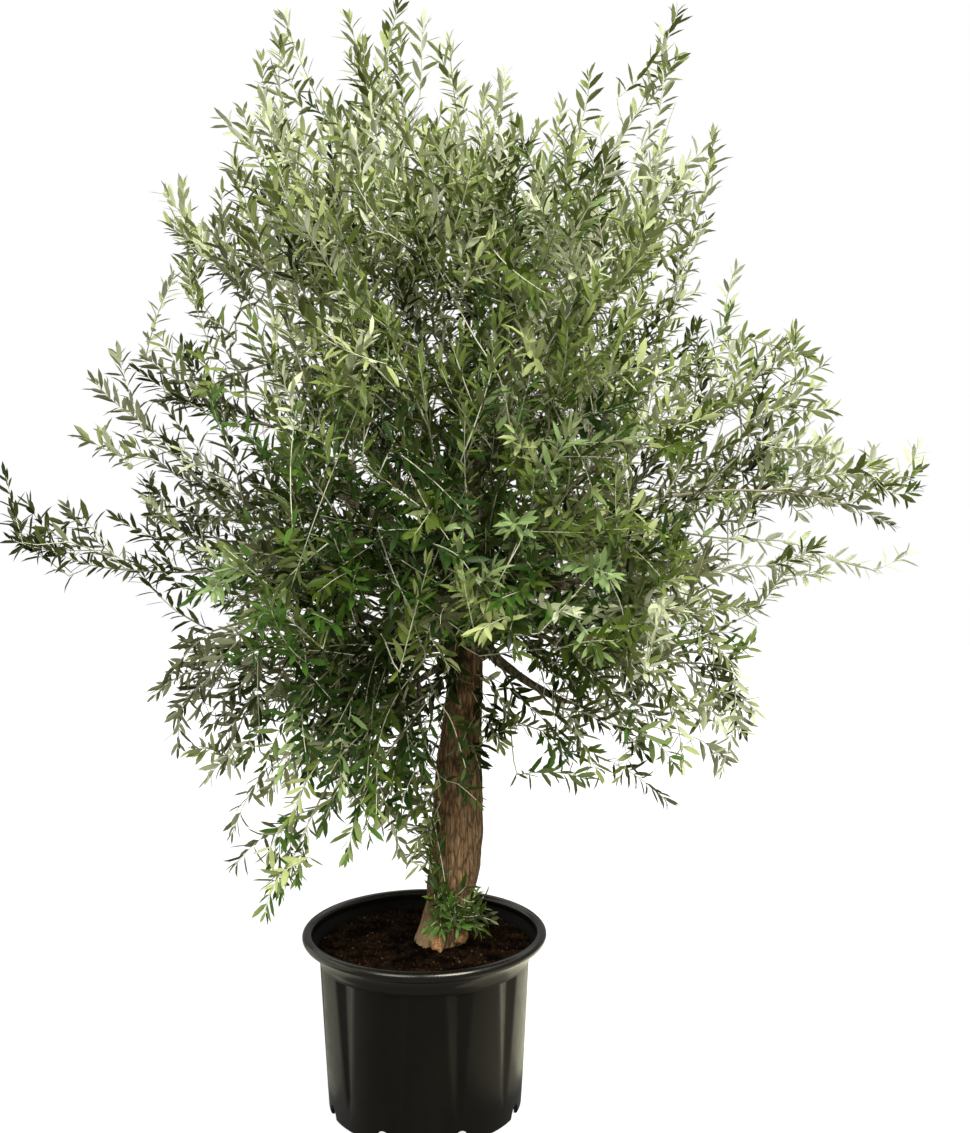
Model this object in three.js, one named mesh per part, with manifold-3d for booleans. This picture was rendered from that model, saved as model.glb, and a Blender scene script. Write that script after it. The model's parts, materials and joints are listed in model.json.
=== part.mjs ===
// Potted olive tree: a standard olive with a leaning trunk, side boughs all the way up its
// leader and a loose crown, growing in a fluted nursery pot.
//
// Millimetres, +Z up. The origin is the centre of the pot's flat underside, +X is the tree's
// right hand side as seen from the front, and +Y points to its back.
//
// Every piece is one closed solid. Pieces that touch keep a gap of TOUCH between their faces.

import * as THREE from 'three';
import { mergeVertices } from 'three/addons/utils/BufferGeometryUtils.js';
import Module from 'manifold-3d';

const wasm = await Module();
wasm.setup();

// ---- Driving dimensions -------------------------------------------------------------------

const TOUCH = 0.3;                     // gap between two faces that meet

const POT = {
  height: 371,
  rimRadius: 250,                      // outside of the rolled rim
  beadRadius: 10.5,
  neckRadius: 216,                     // top of the tapered body, under the flare
  neckHeight: 331,
  footRadius: 199,
  flareStep: 5,                        // the flare's first turn outward, out and up
  underRimIn: 11,                      // where the flare meets the bead, from the bead's centre
  underRimDown: 9,
  insideRimDown: 6,                    // lower edge of the bead's inner side
  footRounding: 7,
  wall: 4,
  floor: 34,
  fluteCount: 11,                      // shallow V recesses that narrow towards the foot
  fluteTurn: -102.5,                   // degrees from +X of one flute's middle
  fluteTop: 311,
  fluteFoot: 40,
  fluteWidthTop: 54,
  fluteWidthFoot: 12,
  fluteDepthTop: 8,
  fluteDepthFoot: 2,
  fluteRunOut: 3,                      // height over which a flute's ends run out
  notchCount: 8,                       // drain notches in the foot's edge
  notchTurn: -112,                     // degrees from +X of one notch's middle
  notchWidth: 36,
  notchHeight: 29,
  notchDepth: 40,
};

const SOIL = {
  level: 341,
  unevenness: 4,
  flatRadius: 78,                      // level around the trunk
  fade: 40,                            // the unevenness sets in over this width
  waveX: 23,                           // lengths of its waves, over two pi
  waveY: 19,
};

const TRUNK = {
  sides: 13,
  flareHeight: 45,                     // the root flare dies away over this height
  flareSwell: 0.16,
  knotHeight: 862,
  knotReach: 28,
  knotSwell: 7,
  knotTurn: -109,                      // degrees from +X that the knot faces
  threeRibs: 0.045,                    // heights of the ribs, as shares of the radius
  fiveRibs: 0.03,
  ribHeights: [359, 530, 615, 900, 1110],  // rings between the stations, for the ribs' twist
  // stations up the centreline: height above the floor, offsets in X and Y, radius
  stations: [
    [341, 27, 0, 49], [372, 36, -2, 45], [416, 48, -4, 45], [485, 62, -4, 53],
    [573, 67, 0, 53], [655, 68, 4, 49], [733, 70, 6, 45], [791, 77, 6, 40],
    [865, 85, 4, 35], [937, 88, 0, 32], [1048, 86, -6, 27], [1170, 90, -4, 21],
    [1300, 96, 4, 15], [1420, 92, 8, 10.5], [1540, 88, 4, 7], [1660, 92, 0, 5], [1750, 96, 0, 3.5],
  ],
};

// Masses of foliage. at: centre, half: half-sizes along X, Y and Z, tilt: degrees that the
// right-hand end is turned up, core: clear distance kept from the trunk's centreline, so that
// the crown stays open round its leader. Where two masses meet they share a flat face.
const CORE = 105;
const MASSES = [
  { name: 'foliage_top_left', at: [-265, 20, 2035], half: [92, 105, 155], tilt: -6, core: 0 },
  { name: 'foliage_top_front', at: [-38, -96, 2016], half: [128, 118, 182], tilt: 6, core: 0 },
  { name: 'foliage_top_back', at: [125, 170, 2000], half: [115, 130, 122], tilt: 0, core: 0 },
  { name: 'foliage_top_middle', at: [262, -30, 1960], half: [106, 125, 122], tilt: 0, core: 0 },
  { name: 'foliage_top_right', at: [500, 40, 2030], half: [76, 90, 178], tilt: 4, core: 0 },

  { name: 'foliage_upper_left', at: [-340, 10, 1750], half: [190, 205, 196], tilt: 20, core: CORE },
  { name: 'foliage_upper_front_left', at: [-125, -290, 1780], half: [205, 205, 208], tilt: 0, core: CORE },
  { name: 'foliage_upper_front_right', at: [240, -300, 1765], half: [205, 205, 205], tilt: 0, core: CORE },
  { name: 'foliage_upper_right', at: [425, 20, 1770], half: [175, 195, 198], tilt: 10, core: CORE },
  { name: 'foliage_upper_back_right', at: [260, 320, 1785], half: [205, 210, 205], tilt: 0, core: CORE },
  { name: 'foliage_upper_back_left', at: [-110, 320, 1790], half: [205, 210, 205], tilt: 0, core: CORE },

  { name: 'foliage_middle_left', at: [-415, -10, 1455], half: [198, 215, 185], tilt: 0, core: CORE },
  { name: 'foliage_middle_front_left', at: [-150, -385, 1450], half: [215, 215, 200], tilt: 0, core: CORE },
  { name: 'foliage_middle_front_right', at: [240, -400, 1450], half: [222, 215, 198], tilt: 0, core: CORE },
  { name: 'foliage_middle_right', at: [505, -20, 1465], half: [200, 215, 200], tilt: 0, core: CORE },
  { name: 'foliage_middle_back_right', at: [270, 420, 1455], half: [225, 220, 200], tilt: 0, core: CORE },
  { name: 'foliage_middle_back_left', at: [-150, 430, 1455], half: [218, 225, 200], tilt: 0, core: CORE },

  { name: 'foliage_low_left', at: [-345, 20, 1150], half: [178, 205, 165], tilt: 0, core: CORE },
  { name: 'foliage_low_front_left', at: [-190, -360, 1140], half: [188, 200, 165], tilt: 0, core: CORE },
  { name: 'foliage_low_front', at: [80, -460, 1150], half: [155, 175, 158], tilt: 0, core: CORE },
  { name: 'foliage_low_front_right', at: [350, -350, 1140], half: [190, 200, 160], tilt: 0, core: CORE },
  { name: 'foliage_low_right', at: [550, 10, 1160], half: [200, 210, 165], tilt: 0, core: CORE },
  { name: 'foliage_low_back_right', at: [300, 400, 1130], half: [220, 210, 168], tilt: 0, core: CORE },
  { name: 'foliage_low_back_left', at: [-130, 410, 1120], half: [220, 210, 168], tilt: 0, core: CORE },

  { name: 'foliage_skirt_left', at: [-415, 0, 855], half: [135, 160, 165], tilt: 0, core: CORE },
  { name: 'foliage_skirt_front_left', at: [-138, -215, 782], half: [160, 150, 236], tilt: 0, core: 62 },
  { name: 'foliage_skirt_right', at: [455, -10, 815], half: [182, 170, 232], tilt: -32, core: CORE },
  { name: 'foliage_skirt_back_left', at: [-170, 250, 840], half: [160, 165, 175], tilt: 0, core: 85 },
  { name: 'foliage_skirt_back_right', at: [450, 290, 880], half: [130, 135, 140], tilt: -20, core: CORE },
  { name: 'foliage_hanging_spray', at: [275, -120, 845], half: [62, 62, 128], tilt: -4, core: 70 },

  { name: 'foliage_left_arm', at: [-622, -10, 1152], half: [218, 62, 60], tilt: -9, core: 0 },
  { name: 'foliage_right_arm_rising', at: [748, 0, 1455], half: [130, 105, 165], tilt: 20, core: 0 },
  { name: 'foliage_right_arm_middle', at: [838, -20, 1286], half: [138, 90, 76], tilt: -4, core: 0 },
  { name: 'foliage_right_arm_low', at: [800, 20, 1125], half: [172, 80, 58], tilt: -6, core: 0 },
  { name: 'foliage_low_left_spray', at: [-232, -195, 596], half: [142, 50, 42], tilt: 48, core: 0 },
  { name: 'foliage_foot_shoots', at: [72, -78, 412], half: [68, 42, 68], tilt: 0, core: 0 },
];
const LUMPS = 0.13;                    // how uneven a mass is, as a share of its size
const SMALL_MASS = 151;                // a mass thinner than this gets fewer faces

// Boughs. fork: height where it leaves the trunk, into: the mass that it carries, radius:
// at its foot, rise: share of its climb that is made before half of its reach.
const BOUGHS = [
  { name: 'bough_skirt_right', fork: 985, into: 'foliage_skirt_right', radius: 11, rise: 1.1 },
  { name: 'bough_skirt_left', fork: 1000, into: 'foliage_skirt_left', radius: 10, rise: 0.1 },
  { name: 'bough_skirt_front_left', fork: 935, into: 'foliage_skirt_front_left', radius: 9, rise: 0.1 },
  { name: 'bough_skirt_back_left', fork: 950, into: 'foliage_skirt_back_left', radius: 9, rise: 0.1 },
  { name: 'bough_low_right', fork: 1030, into: 'foliage_low_right', radius: 14, rise: 0.4 },
  { name: 'bough_low_left', fork: 1055, into: 'foliage_low_left', radius: 13, rise: 0.4 },
  { name: 'bough_low_front', fork: 1010, into: 'foliage_low_front', radius: 11, rise: 0.4 },
  { name: 'bough_low_front_right', fork: 1065, into: 'foliage_low_front_right', radius: 10, rise: 0.4 },
  { name: 'bough_low_back_left', fork: 1020, into: 'foliage_low_back_left', radius: 11, rise: 0.4 },
  { name: 'bough_low_back_right', fork: 1060, into: 'foliage_low_back_right', radius: 11, rise: 0.4 },
  { name: 'bough_middle_left', fork: 1130, into: 'foliage_middle_left', radius: 13, rise: 0.3 },
  { name: 'bough_middle_right', fork: 1150, into: 'foliage_middle_right', radius: 13, rise: 0.3 },
  { name: 'bough_middle_front_left', fork: 1180, into: 'foliage_middle_front_left', radius: 11, rise: 0.3 },
  { name: 'bough_middle_front_right', fork: 1205, into: 'foliage_middle_front_right', radius: 11, rise: 0.3 },
  { name: 'bough_middle_back_left', fork: 1170, into: 'foliage_middle_back_left', radius: 11, rise: 0.3 },
  { name: 'bough_middle_back_right', fork: 1215, into: 'foliage_middle_back_right', radius: 11, rise: 0.3 },
  { name: 'bough_upper_right', fork: 1300, into: 'foliage_upper_right', radius: 11, rise: 0.35 },
  { name: 'bough_upper_left', fork: 1345, into: 'foliage_upper_left', radius: 10, rise: 0.3 },
  { name: 'bough_upper_back', fork: 1400, into: 'foliage_upper_back_right', radius: 8, rise: 0.3 },
  { name: 'bough_upper_front', fork: 1450, into: 'foliage_upper_front_right', radius: 7, rise: 0.3 },
];
const BOUGH = { sides: 6, rings: 6, taper: 0.5 };

// ---- Materials ----------------------------------------------------------------------------

const paint = (color, roughness) => new THREE.MeshStandardMaterial({ color, roughness, metalness: 0 });
const PLASTIC = paint(0x22211d, 0.42);
const PEAT = paint(0x2a1c12, 0.95);
const BARK = paint(0x6f5a44, 0.9);
const LEAVES = paint(0x66733c, 0.7);

// ---- Solids -------------------------------------------------------------------------------

const radians = THREE.MathUtils.degToRad;

/** A closed indexed geometry from a list of points and a list of triangles. */
function geometryOf(points, triangles) {
  const geometry = new THREE.BufferGeometry();
  geometry.setAttribute('position', new THREE.Float32BufferAttribute(points.flat(), 3));
  geometry.setIndex(triangles.flat());
  return geometry;
}

function toSolid(geometry) {
  const bare = geometry.clone();
  bare.deleteAttribute('normal');
  bare.deleteAttribute('uv');
  const merged = mergeVertices(bare, 1e-4);
  return new wasm.Manifold(new wasm.Mesh({
    numProp: 3,
    vertProperties: new Float32Array(merged.attributes.position.array),
    triVerts: new Uint32Array(merged.index.array),
  }));
}

function toGeometry(solid) {
  const { vertProperties, triVerts, numProp } = solid.getMesh();
  const geometry = new THREE.BufferGeometry();
  const positions = new Float32Array(vertProperties.length / numProp * 3);
  for (let v = 0; v < vertProperties.length / numProp; v += 1) {
    positions.set(vertProperties.subarray(v * numProp, v * numProp + 3), v * 3);
  }
  geometry.setAttribute('position', new THREE.BufferAttribute(positions, 3));
  geometry.setIndex(new THREE.BufferAttribute(new Uint32Array(triVerts), 1));
  return geometry;
}

/** Joins rings of equal length, listed from the low end to the high end and each running
 *  anticlockwise seen from above, and closes both ends with a fan on its own middle point. */
function loft(rings) {
  const sides = rings[0].length;
  const points = rings.flat();
  const triangles = [];
  for (let r = 0; r + 1 < rings.length; r += 1) {
    for (let s = 0; s < sides; s += 1) {
      const a = r * sides + s;
      const b = r * sides + (s + 1) % sides;
      triangles.push([a, b, b + sides], [a, b + sides, a + sides]);
    }
  }
  const middle = (ring) => ring[0].map((_, k) => ring.reduce((sum, p) => sum + p[k], 0) / sides);
  const low = points.push(middle(rings[0])) - 1;
  const high = points.push(middle(rings.at(-1))) - 1;
  const last = (rings.length - 1) * sides;
  for (let s = 0; s < sides; s += 1) {
    const next = (s + 1) % sides;
    triangles.push([low, next, s], [high, last + s, last + next]);
  }
  return geometryOf(points, triangles);
}

/** A soft, repeatable ripple between -1 and 1 over the directions round a point. */
function ripple(direction, phase) {
  const { x, y, z } = direction;
  return (Math.sin(4.1 * x + 2.3 * z + phase) + Math.sin(3.7 * y - 2.9 * x + 2.1 * phase)
    + Math.sin(5.3 * z + 3.1 * y + 3.7 * phase)) / 3;
}

// ---- Pot and soil -------------------------------------------------------------------------

/** Outer radius of the tapered body at a height. */
function bodyRadius(z) {
  return THREE.MathUtils.lerp(POT.footRadius, POT.neckRadius, z / POT.neckHeight);
}

/** One ring of the pot: the flutes' edges and valleys are columns of points of their own, and
 *  the plain stave between two flutes has one more in its middle. */
function potRing(radius, z, fluteWidth, fluteDepth) {
  const ring = [];
  const pitch = 360 / POT.fluteCount;
  const halfFlute = THREE.MathUtils.radToDeg(fluteWidth / 2 / bodyRadius(z));
  const stave = pitch - 2 * halfFlute;
  const columns = [-halfFlute, 0, halfFlute, halfFlute + stave / 2];
  for (let flute = 0; flute < POT.fluteCount; flute += 1) {
    columns.forEach((column, place) => {
      const angle = radians(POT.fluteTurn + flute * pitch + column);
      const r = place === 1 ? radius - fluteDepth : radius;
      ring.push([r * Math.cos(angle), r * Math.sin(angle), z]);
    });
  }
  return ring;
}

function makePot() {
  const plain = (radius, z) => potRing(radius, z, POT.fluteWidthTop, 0);
  const beadCentre = { r: POT.rimRadius - POT.beadRadius, z: POT.height - POT.beadRadius };
  const bead = [-60, 0, 45, 90, 150].map((degrees) => plain(
    beadCentre.r + POT.beadRadius * Math.cos(radians(degrees)),
    beadCentre.z + POT.beadRadius * Math.sin(radians(degrees)),
  ));
  const fluteStart = POT.fluteFoot + POT.fluteRunOut;
  const fluteEnd = POT.fluteTop + POT.fluteRunOut;
  const rings = [
    plain(POT.footRadius - POT.footRounding, 0),
    plain(POT.footRadius - 1, POT.footRounding),
    potRing(bodyRadius(POT.fluteFoot), POT.fluteFoot, POT.fluteWidthFoot, 0),
    potRing(bodyRadius(fluteStart), fluteStart, POT.fluteWidthFoot, POT.fluteDepthFoot),
    potRing(bodyRadius(POT.fluteTop), POT.fluteTop, POT.fluteWidthTop, POT.fluteDepthTop),
    plain(bodyRadius(fluteEnd), fluteEnd),
    plain(POT.neckRadius, POT.neckHeight),
    plain(POT.neckRadius + POT.flareStep, POT.neckHeight + POT.flareStep),
    plain(beadCentre.r - POT.underRimIn, beadCentre.z - POT.underRimDown),
    ...bead,
    plain(beadCentre.r - POT.beadRadius - 1, beadCentre.z - POT.insideRimDown),
    plain(innerRadius(POT.neckHeight), POT.neckHeight),
    plain(innerRadius(POT.floor), POT.floor),
  ];
  let pot = toSolid(loft(rings));
  for (let notch = 0; notch < POT.notchCount; notch += 1) {
    const cutter = new THREE.BoxGeometry(POT.notchDepth * 2, POT.notchWidth, POT.notchHeight * 2);
    cutter.translate(POT.footRadius, 0, 0);
    cutter.rotateZ(radians(POT.notchTurn + notch * 360 / POT.notchCount));
    pot = pot.subtract(toSolid(cutter));
  }
  return toGeometry(pot);
}

/** Inner radius of the pot, clear of the flutes' valleys. */
function innerRadius(z) {
  return bodyRadius(z) - POT.fluteDepthTop - POT.wall;
}

/** Inner radius where the wall flares from the neck up to the rim. */
function flareRadius(z) {
  const top = {
    r: POT.rimRadius - 2 * POT.beadRadius - 1,
    z: POT.height - POT.beadRadius - POT.insideRimDown,
  };
  const share = (z - POT.neckHeight) / (top.z - POT.neckHeight);
  return THREE.MathUtils.lerp(innerRadius(POT.neckHeight), top.r, share);
}

function makeSoil() {
  const disc = (radius, z) => potRing(radius, z, POT.fluteWidthTop, 0);
  const [, footX, footY] = TRUNK.stations[0];
  const uneven = (radius) => disc(radius, SOIL.level).map(([x, y, z]) => {
    const fromTrunk = Math.hypot(x - footX, y - footY);
    const share = THREE.MathUtils.smoothstep(fromTrunk, SOIL.flatRadius, SOIL.flatRadius + SOIL.fade);
    const wave = Math.sin(x / SOIL.waveX + 1) * Math.sin(y / SOIL.waveY + 2);
    return [x, y, z - SOIL.unevenness * share * (1 + wave) / 2];
  });
  const edge = 2 * SOIL.unevenness;
  return loft([
    disc(innerRadius(POT.floor) - TOUCH, POT.floor + TOUCH),
    disc(innerRadius(POT.neckHeight) - TOUCH, POT.neckHeight),
    disc(flareRadius(SOIL.level - edge) - TOUCH, SOIL.level - edge),
    uneven(flareRadius(SOIL.level - edge) - 1),
    uneven(POT.footRadius * 0.8),
    disc(SOIL.flatRadius / 2, SOIL.level),
  ]);
}

// ---- Trunk and boughs ---------------------------------------------------------------------

/** Centre and radius of the trunk at a height. */
function trunkAt(height) {
  const stations = TRUNK.stations;
  let k = 0;
  while (k + 2 < stations.length && stations[k + 1][0] < height) k += 1;
  const [z0, x0, y0, r0] = stations[k];
  const [z1, x1, y1, r1] = stations[k + 1];
  const share = (height - z0) / (z1 - z0);
  const mix = (a, b) => THREE.MathUtils.lerp(a, b, share);
  return { centre: new THREE.Vector3(mix(x0, x1), mix(y0, y1), height), radius: mix(r0, r1) };
}

/** The trunk from its flat cut at the soil to its tip, grown outwards by a margin. */
function makeTrunk(margin) {
  const { stations, sides, knotHeight, knotReach } = TRUNK;
  const foot = stations[0][0];
  const knotRings = [knotHeight - knotReach, knotHeight, knotHeight + knotReach];
  const heights = [...stations.map(([height]) => height), ...TRUNK.ribHeights, ...knotRings];
  heights.sort((a, b) => a - b);
  const rings = heights.map((height) => {
    const { centre, radius } = trunkAt(height);
    const nearFoot = Math.exp(-(height - foot) / TRUNK.flareHeight);
    const nearKnot = Math.exp(-(((height - knotHeight) / knotReach) ** 2));
    const ring = [];
    for (let side = 0; side < sides; side += 1) {
      const angle = 2 * Math.PI * side / sides;
      const ribs = TRUNK.threeRibs * Math.sin(3 * angle + height / 90)
        + TRUNK.fiveRibs * Math.sin(5 * angle - height / 60);
      const flare = TRUNK.flareSwell * nearFoot * (0.5 + 0.5 * Math.cos(3 * angle - 0.6));
      const knot = TRUNK.knotSwell * nearKnot * Math.max(0, Math.cos(angle - radians(TRUNK.knotTurn)));
      const r = radius * (1 + ribs + flare) + knot + margin;
      ring.push([centre.x + r * Math.cos(angle), centre.y + r * Math.sin(angle), height]);
    }
    return ring;
  });
  return loft(rings);
}

/** A bough from inside the trunk to the middle of its mass, before it is cut to fit. */
function wholeBough({ fork, into, radius, rise }) {
  const start = trunkAt(fork).centre;
  const end = new THREE.Vector3(...massNamed(into).at);
  const bend = new THREE.Vector3(
    THREE.MathUtils.lerp(start.x, end.x, 0.5),
    THREE.MathUtils.lerp(start.y, end.y, 0.5),
    THREE.MathUtils.lerp(start.z, end.z, rise),
  );
  const curve = new THREE.QuadraticBezierCurve3(start, bend, end);
  const rings = [];
  for (let k = 0; k <= BOUGH.rings; k += 1) {
    const share = k / BOUGH.rings;
    const centre = curve.getPoint(share);
    const along = curve.getTangent(share);
    const sideways = new THREE.Vector3(-along.y, along.x, 0).normalize();
    const upwards = new THREE.Vector3().crossVectors(along, sideways);
    const r = radius * THREE.MathUtils.lerp(1, BOUGH.taper, share);
    const ring = [];
    for (let side = 0; side < BOUGH.sides; side += 1) {
      const angle = 2 * Math.PI * side / BOUGH.sides;
      const point = centre.clone()
        .addScaledVector(sideways, r * Math.cos(angle))
        .addScaledVector(upwards, r * Math.sin(angle));
      ring.push(point.toArray());
    }
    rings.push(ring);
  }
  return toSolid(loft(rings));
}

/** The piece of a solid whose nearest corner lies closest to a point. */
function pieceNearest(solid, point) {
  const distance = (piece) => {
    const { vertProperties, numProp } = piece.getMesh();
    let least = Infinity;
    for (let v = 0; v < vertProperties.length; v += numProp) {
      const corner = new THREE.Vector3(...vertProperties.subarray(v, v + 3));
      least = Math.min(least, corner.distanceTo(point));
    }
    return least;
  };
  return solid.decompose().reduce((best, piece) => (distance(piece) < distance(best) ? piece : best));
}

// ---- Masses of foliage --------------------------------------------------------------------

function massNamed(name) {
  return MASSES.find((mass) => mass.name === name);
}

/** Distance from a mass's centre to its smooth ellipsoid along a unit direction. */
function reach({ half, tilt }, direction) {
  const turned = direction.clone().applyAxisAngle(new THREE.Vector3(0, 1, 0), radians(tilt));
  return 1 / Math.hypot(turned.x / half[0], turned.y / half[1], turned.z / half[2]);
}

/** Planes that a mass stays behind: one to each neighbour, placed by the two sizes, and one
 *  that keeps the crown's core open. Each is a unit normal and its distance from the centre. */
function facesOf(mass) {
  const centre = new THREE.Vector3(...mass.at);
  const faces = [];
  for (const other of MASSES) {
    if (other === mass) continue;
    const towards = new THREE.Vector3(...other.at).sub(centre);
    const apart = towards.length();
    if (apart > (Math.max(...mass.half) + Math.max(...other.half)) * (1 + LUMPS)) continue;
    towards.normalize();
    const mine = reach(mass, towards);
    const theirs = reach(other, towards.clone().negate());
    faces.push({ normal: towards, distance: apart * mine / (mine + theirs) - TOUCH / 2 });
  }
  if (mass.core > 0) {
    const axis = trunkAt(mass.at[2]).centre;
    const inwards = axis.sub(centre).setZ(0);
    faces.push({ normal: inwards.clone().normalize(), distance: inwards.length() - mass.core });
  }
  return faces;
}

/** One uneven mass, grown outwards by a margin. */
function makeMass(mass, margin) {
  const phase = MASSES.indexOf(mass) * 1.7;
  const detail = Math.min(...mass.half) < SMALL_MASS ? 1 : 2;
  const ball = new THREE.IcosahedronGeometry(1, detail);
  ball.deleteAttribute('normal');
  ball.deleteAttribute('uv');
  const geometry = mergeVertices(ball, 1e-4);
  const faces = facesOf(mass);
  const position = geometry.attributes.position;
  const direction = new THREE.Vector3();
  for (let v = 0; v < position.count; v += 1) {
    direction.fromBufferAttribute(position, v).normalize();
    let r = reach(mass, direction) * (1 + LUMPS * ripple(direction, phase));
    for (const { normal, distance } of faces) {
      const facing = normal.dot(direction);
      if (facing > 0) r = Math.min(r, distance / facing);
    }
    direction.multiplyScalar(r + margin);
    position.setXYZ(v, mass.at[0] + direction.x, mass.at[1] + direction.y, mass.at[2] + direction.z);
  }
  return toSolid(geometry);
}

// ---- Assembly -----------------------------------------------------------------------------

const tree = new THREE.Group();

function add(name, geometry, material) {
  const mesh = new THREE.Mesh(geometry, material);
  mesh.name = name;
  tree.add(mesh);
}

add('pot', makePot(), PLASTIC);
add('soil', makeSoil(), PEAT);
add('trunk', makeTrunk(0), BARK);

const trunkRoom = toSolid(makeTrunk(TOUCH));
const massRooms = MASSES.map((mass) => makeMass(mass, TOUCH));

for (const mass of MASSES) {
  add(mass.name, toGeometry(makeMass(mass, 0).subtract(trunkRoom)), LEAVES);
}
for (const bough of BOUGHS) {
  const room = massRooms.reduce((left, mass) => left.subtract(mass), wholeBough(bough).subtract(trunkRoom));
  const kept = pieceNearest(room, trunkAt(bough.fork).centre);
  add(bough.name, toGeometry(kept), BARK);
}

export default tree;
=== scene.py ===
"""Potted olive tree: a standard olive with a leaning trunk and a loose crown, in a nursery pot.

Metres, +Z up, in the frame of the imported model: the origin is the centre of the pot's underside,
+X is the tree's right hand side seen from the front, and +Y points to its back.

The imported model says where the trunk, the boughs and the masses of foliage are. Shoots are dealt
out inside each mass, wood grows out to them from the boughs by a seeded branching rule, and
every shoot carries opposite pairs of leaves.
"""

import json
import math

import bmesh
import bpy
import numpy as np
from mathutils import Matrix, Vector, noise
from mathutils.bvhtree import BVHTree

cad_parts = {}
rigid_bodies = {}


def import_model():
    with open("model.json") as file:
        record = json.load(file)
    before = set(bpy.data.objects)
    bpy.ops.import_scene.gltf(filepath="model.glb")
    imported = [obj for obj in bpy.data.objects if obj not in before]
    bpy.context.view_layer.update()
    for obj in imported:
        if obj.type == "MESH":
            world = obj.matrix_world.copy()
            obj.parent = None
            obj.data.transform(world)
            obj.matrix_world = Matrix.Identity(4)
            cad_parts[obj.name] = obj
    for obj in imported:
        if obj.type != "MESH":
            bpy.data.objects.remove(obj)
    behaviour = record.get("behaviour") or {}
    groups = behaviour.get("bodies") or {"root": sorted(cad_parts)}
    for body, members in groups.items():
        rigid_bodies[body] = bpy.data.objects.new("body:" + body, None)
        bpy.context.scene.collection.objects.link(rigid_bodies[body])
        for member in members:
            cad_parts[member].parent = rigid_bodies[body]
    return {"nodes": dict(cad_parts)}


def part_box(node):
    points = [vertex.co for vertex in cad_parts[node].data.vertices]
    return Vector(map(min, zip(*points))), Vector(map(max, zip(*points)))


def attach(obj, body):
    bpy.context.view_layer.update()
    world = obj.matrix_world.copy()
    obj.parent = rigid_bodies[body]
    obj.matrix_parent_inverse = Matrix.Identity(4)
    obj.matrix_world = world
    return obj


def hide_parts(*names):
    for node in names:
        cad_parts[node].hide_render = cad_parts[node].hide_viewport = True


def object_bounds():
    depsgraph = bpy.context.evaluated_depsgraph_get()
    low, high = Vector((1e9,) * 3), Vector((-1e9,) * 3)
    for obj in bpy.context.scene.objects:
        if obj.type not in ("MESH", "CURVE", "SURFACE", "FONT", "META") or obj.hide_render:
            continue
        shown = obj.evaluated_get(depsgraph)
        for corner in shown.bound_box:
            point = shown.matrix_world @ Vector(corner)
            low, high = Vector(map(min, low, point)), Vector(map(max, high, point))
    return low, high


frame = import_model()
CAD_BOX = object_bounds()

# ---- Sizes, in metres ----

SEED = 41
UP = np.array([0.0, 0.0, 1.0])

RIM_RADIUS = 0.250
BEAD_RADIUS = 0.0105
NECK_RADIUS = 0.216
NECK_HEIGHT = 0.331
FOOT_RADIUS = 0.199
FOOT_ROUNDING = 0.007
FOOT_RIM = 0.008
FOOT_RECESS = 0.031
WALL = 0.004
POT_FLOOR = 0.034
FLUTE_COUNT = 11
FLUTE_TURN = -102.5
FLUTE_TOP = 0.311
FLUTE_FOOT = 0.040
FLUTE_WIDTHS = (0.012, 0.054)
FLUTE_DEPTHS = (0.002, 0.008)
FLUTE_COLUMNS = 12
STAVE_COLUMNS = 10
SLIVER = 0.00005
NOTCH_COUNT = 8
NOTCH_TURN = -112
NOTCH_WIDTH = 0.036
NOTCH_HEIGHT = 0.029
NOTCH_DEPTH = 0.016
POT_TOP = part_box("pot")[1].z
BEAD_CENTRE = RIM_RADIUS - BEAD_RADIUS
BEAD_HEIGHT = POT_TOP - BEAD_RADIUS
FLARE_FOOT = FLUTE_TOP + 0.006
FLARE_TOP = BEAD_HEIGHT - 0.009
FLARE_POWER = 2.4

SOIL_ROWS = 62
SOIL_COLUMNS = 180

TRUNK_SIDES = 48
TRUNK_COLUMNS = 144
SMOOTH_ALONG = 13
SMOOTH_AROUND = 9
CROWN_FOOT = 0.93
RAY_COUNT = 240

LEAF_LENGTH = 0.040
LEAF_WIDTH = 0.0098
LEAF_FOLD = 0.16
LEAF_THICKNESS = 0.05
PAIR_GAP = 0.0138
SHOOT_STEP = 0.022
SHOOT_LENGTHS = (0.09, 0.22)

# ---- Plain helpers ----


def unit(vectors):
    """Vectors scaled to length one."""
    vectors = np.asarray(vectors, float)
    return vectors / np.maximum(np.linalg.norm(vectors, axis=-1, keepdims=True), 1e-9)


def smooth_step(low, high, value):
    """Eases from 0 at low to 1 at high."""
    share = min(1.0, max(0.0, (value - low) / (high - low)))
    return share * share * (3 - 2 * share)


def length_of(vector):
    return float(np.linalg.norm(vector))


def compass(turn):
    """The level direction at a turn from +X."""
    return np.array([math.cos(turn), math.sin(turn), 0])


def full_circle(count):
    """So many turns, spread evenly all the way round."""
    return np.linspace(0, 2 * math.pi, count, endpoint=False)


def linear(red, green, blue):
    """A colour given in screen values from 0 to 255, as Blender's linear colour."""
    shares = [value / 255 for value in (red, green, blue)]
    parts = [s / 12.92 if s <= 0.04045 else ((s + 0.055) / 1.055) ** 2.4 for s in shares]
    return (*parts, 1.0)


def mesh_from(name, points, faces=(), edges=(), smooth=True):
    mesh = bpy.data.meshes.new(name)
    mesh.from_pydata([tuple(p) for p in points], edges, [tuple(f) for f in faces])
    mesh.polygons.foreach_set("use_smooth", [smooth] * len(mesh.polygons))
    mesh.update()
    return mesh


def mark(mesh, name, values, kind="FLOAT", domain="POINT", field="value"):
    """Writes values on a mesh under a name, for each point or for each of another domain."""
    mesh.attributes.new(name, kind, domain).data.foreach_set(field, values)


def link(name, data):
    piece = bpy.data.objects.new(name, data)
    bpy.context.scene.collection.objects.link(piece)
    return piece


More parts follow.
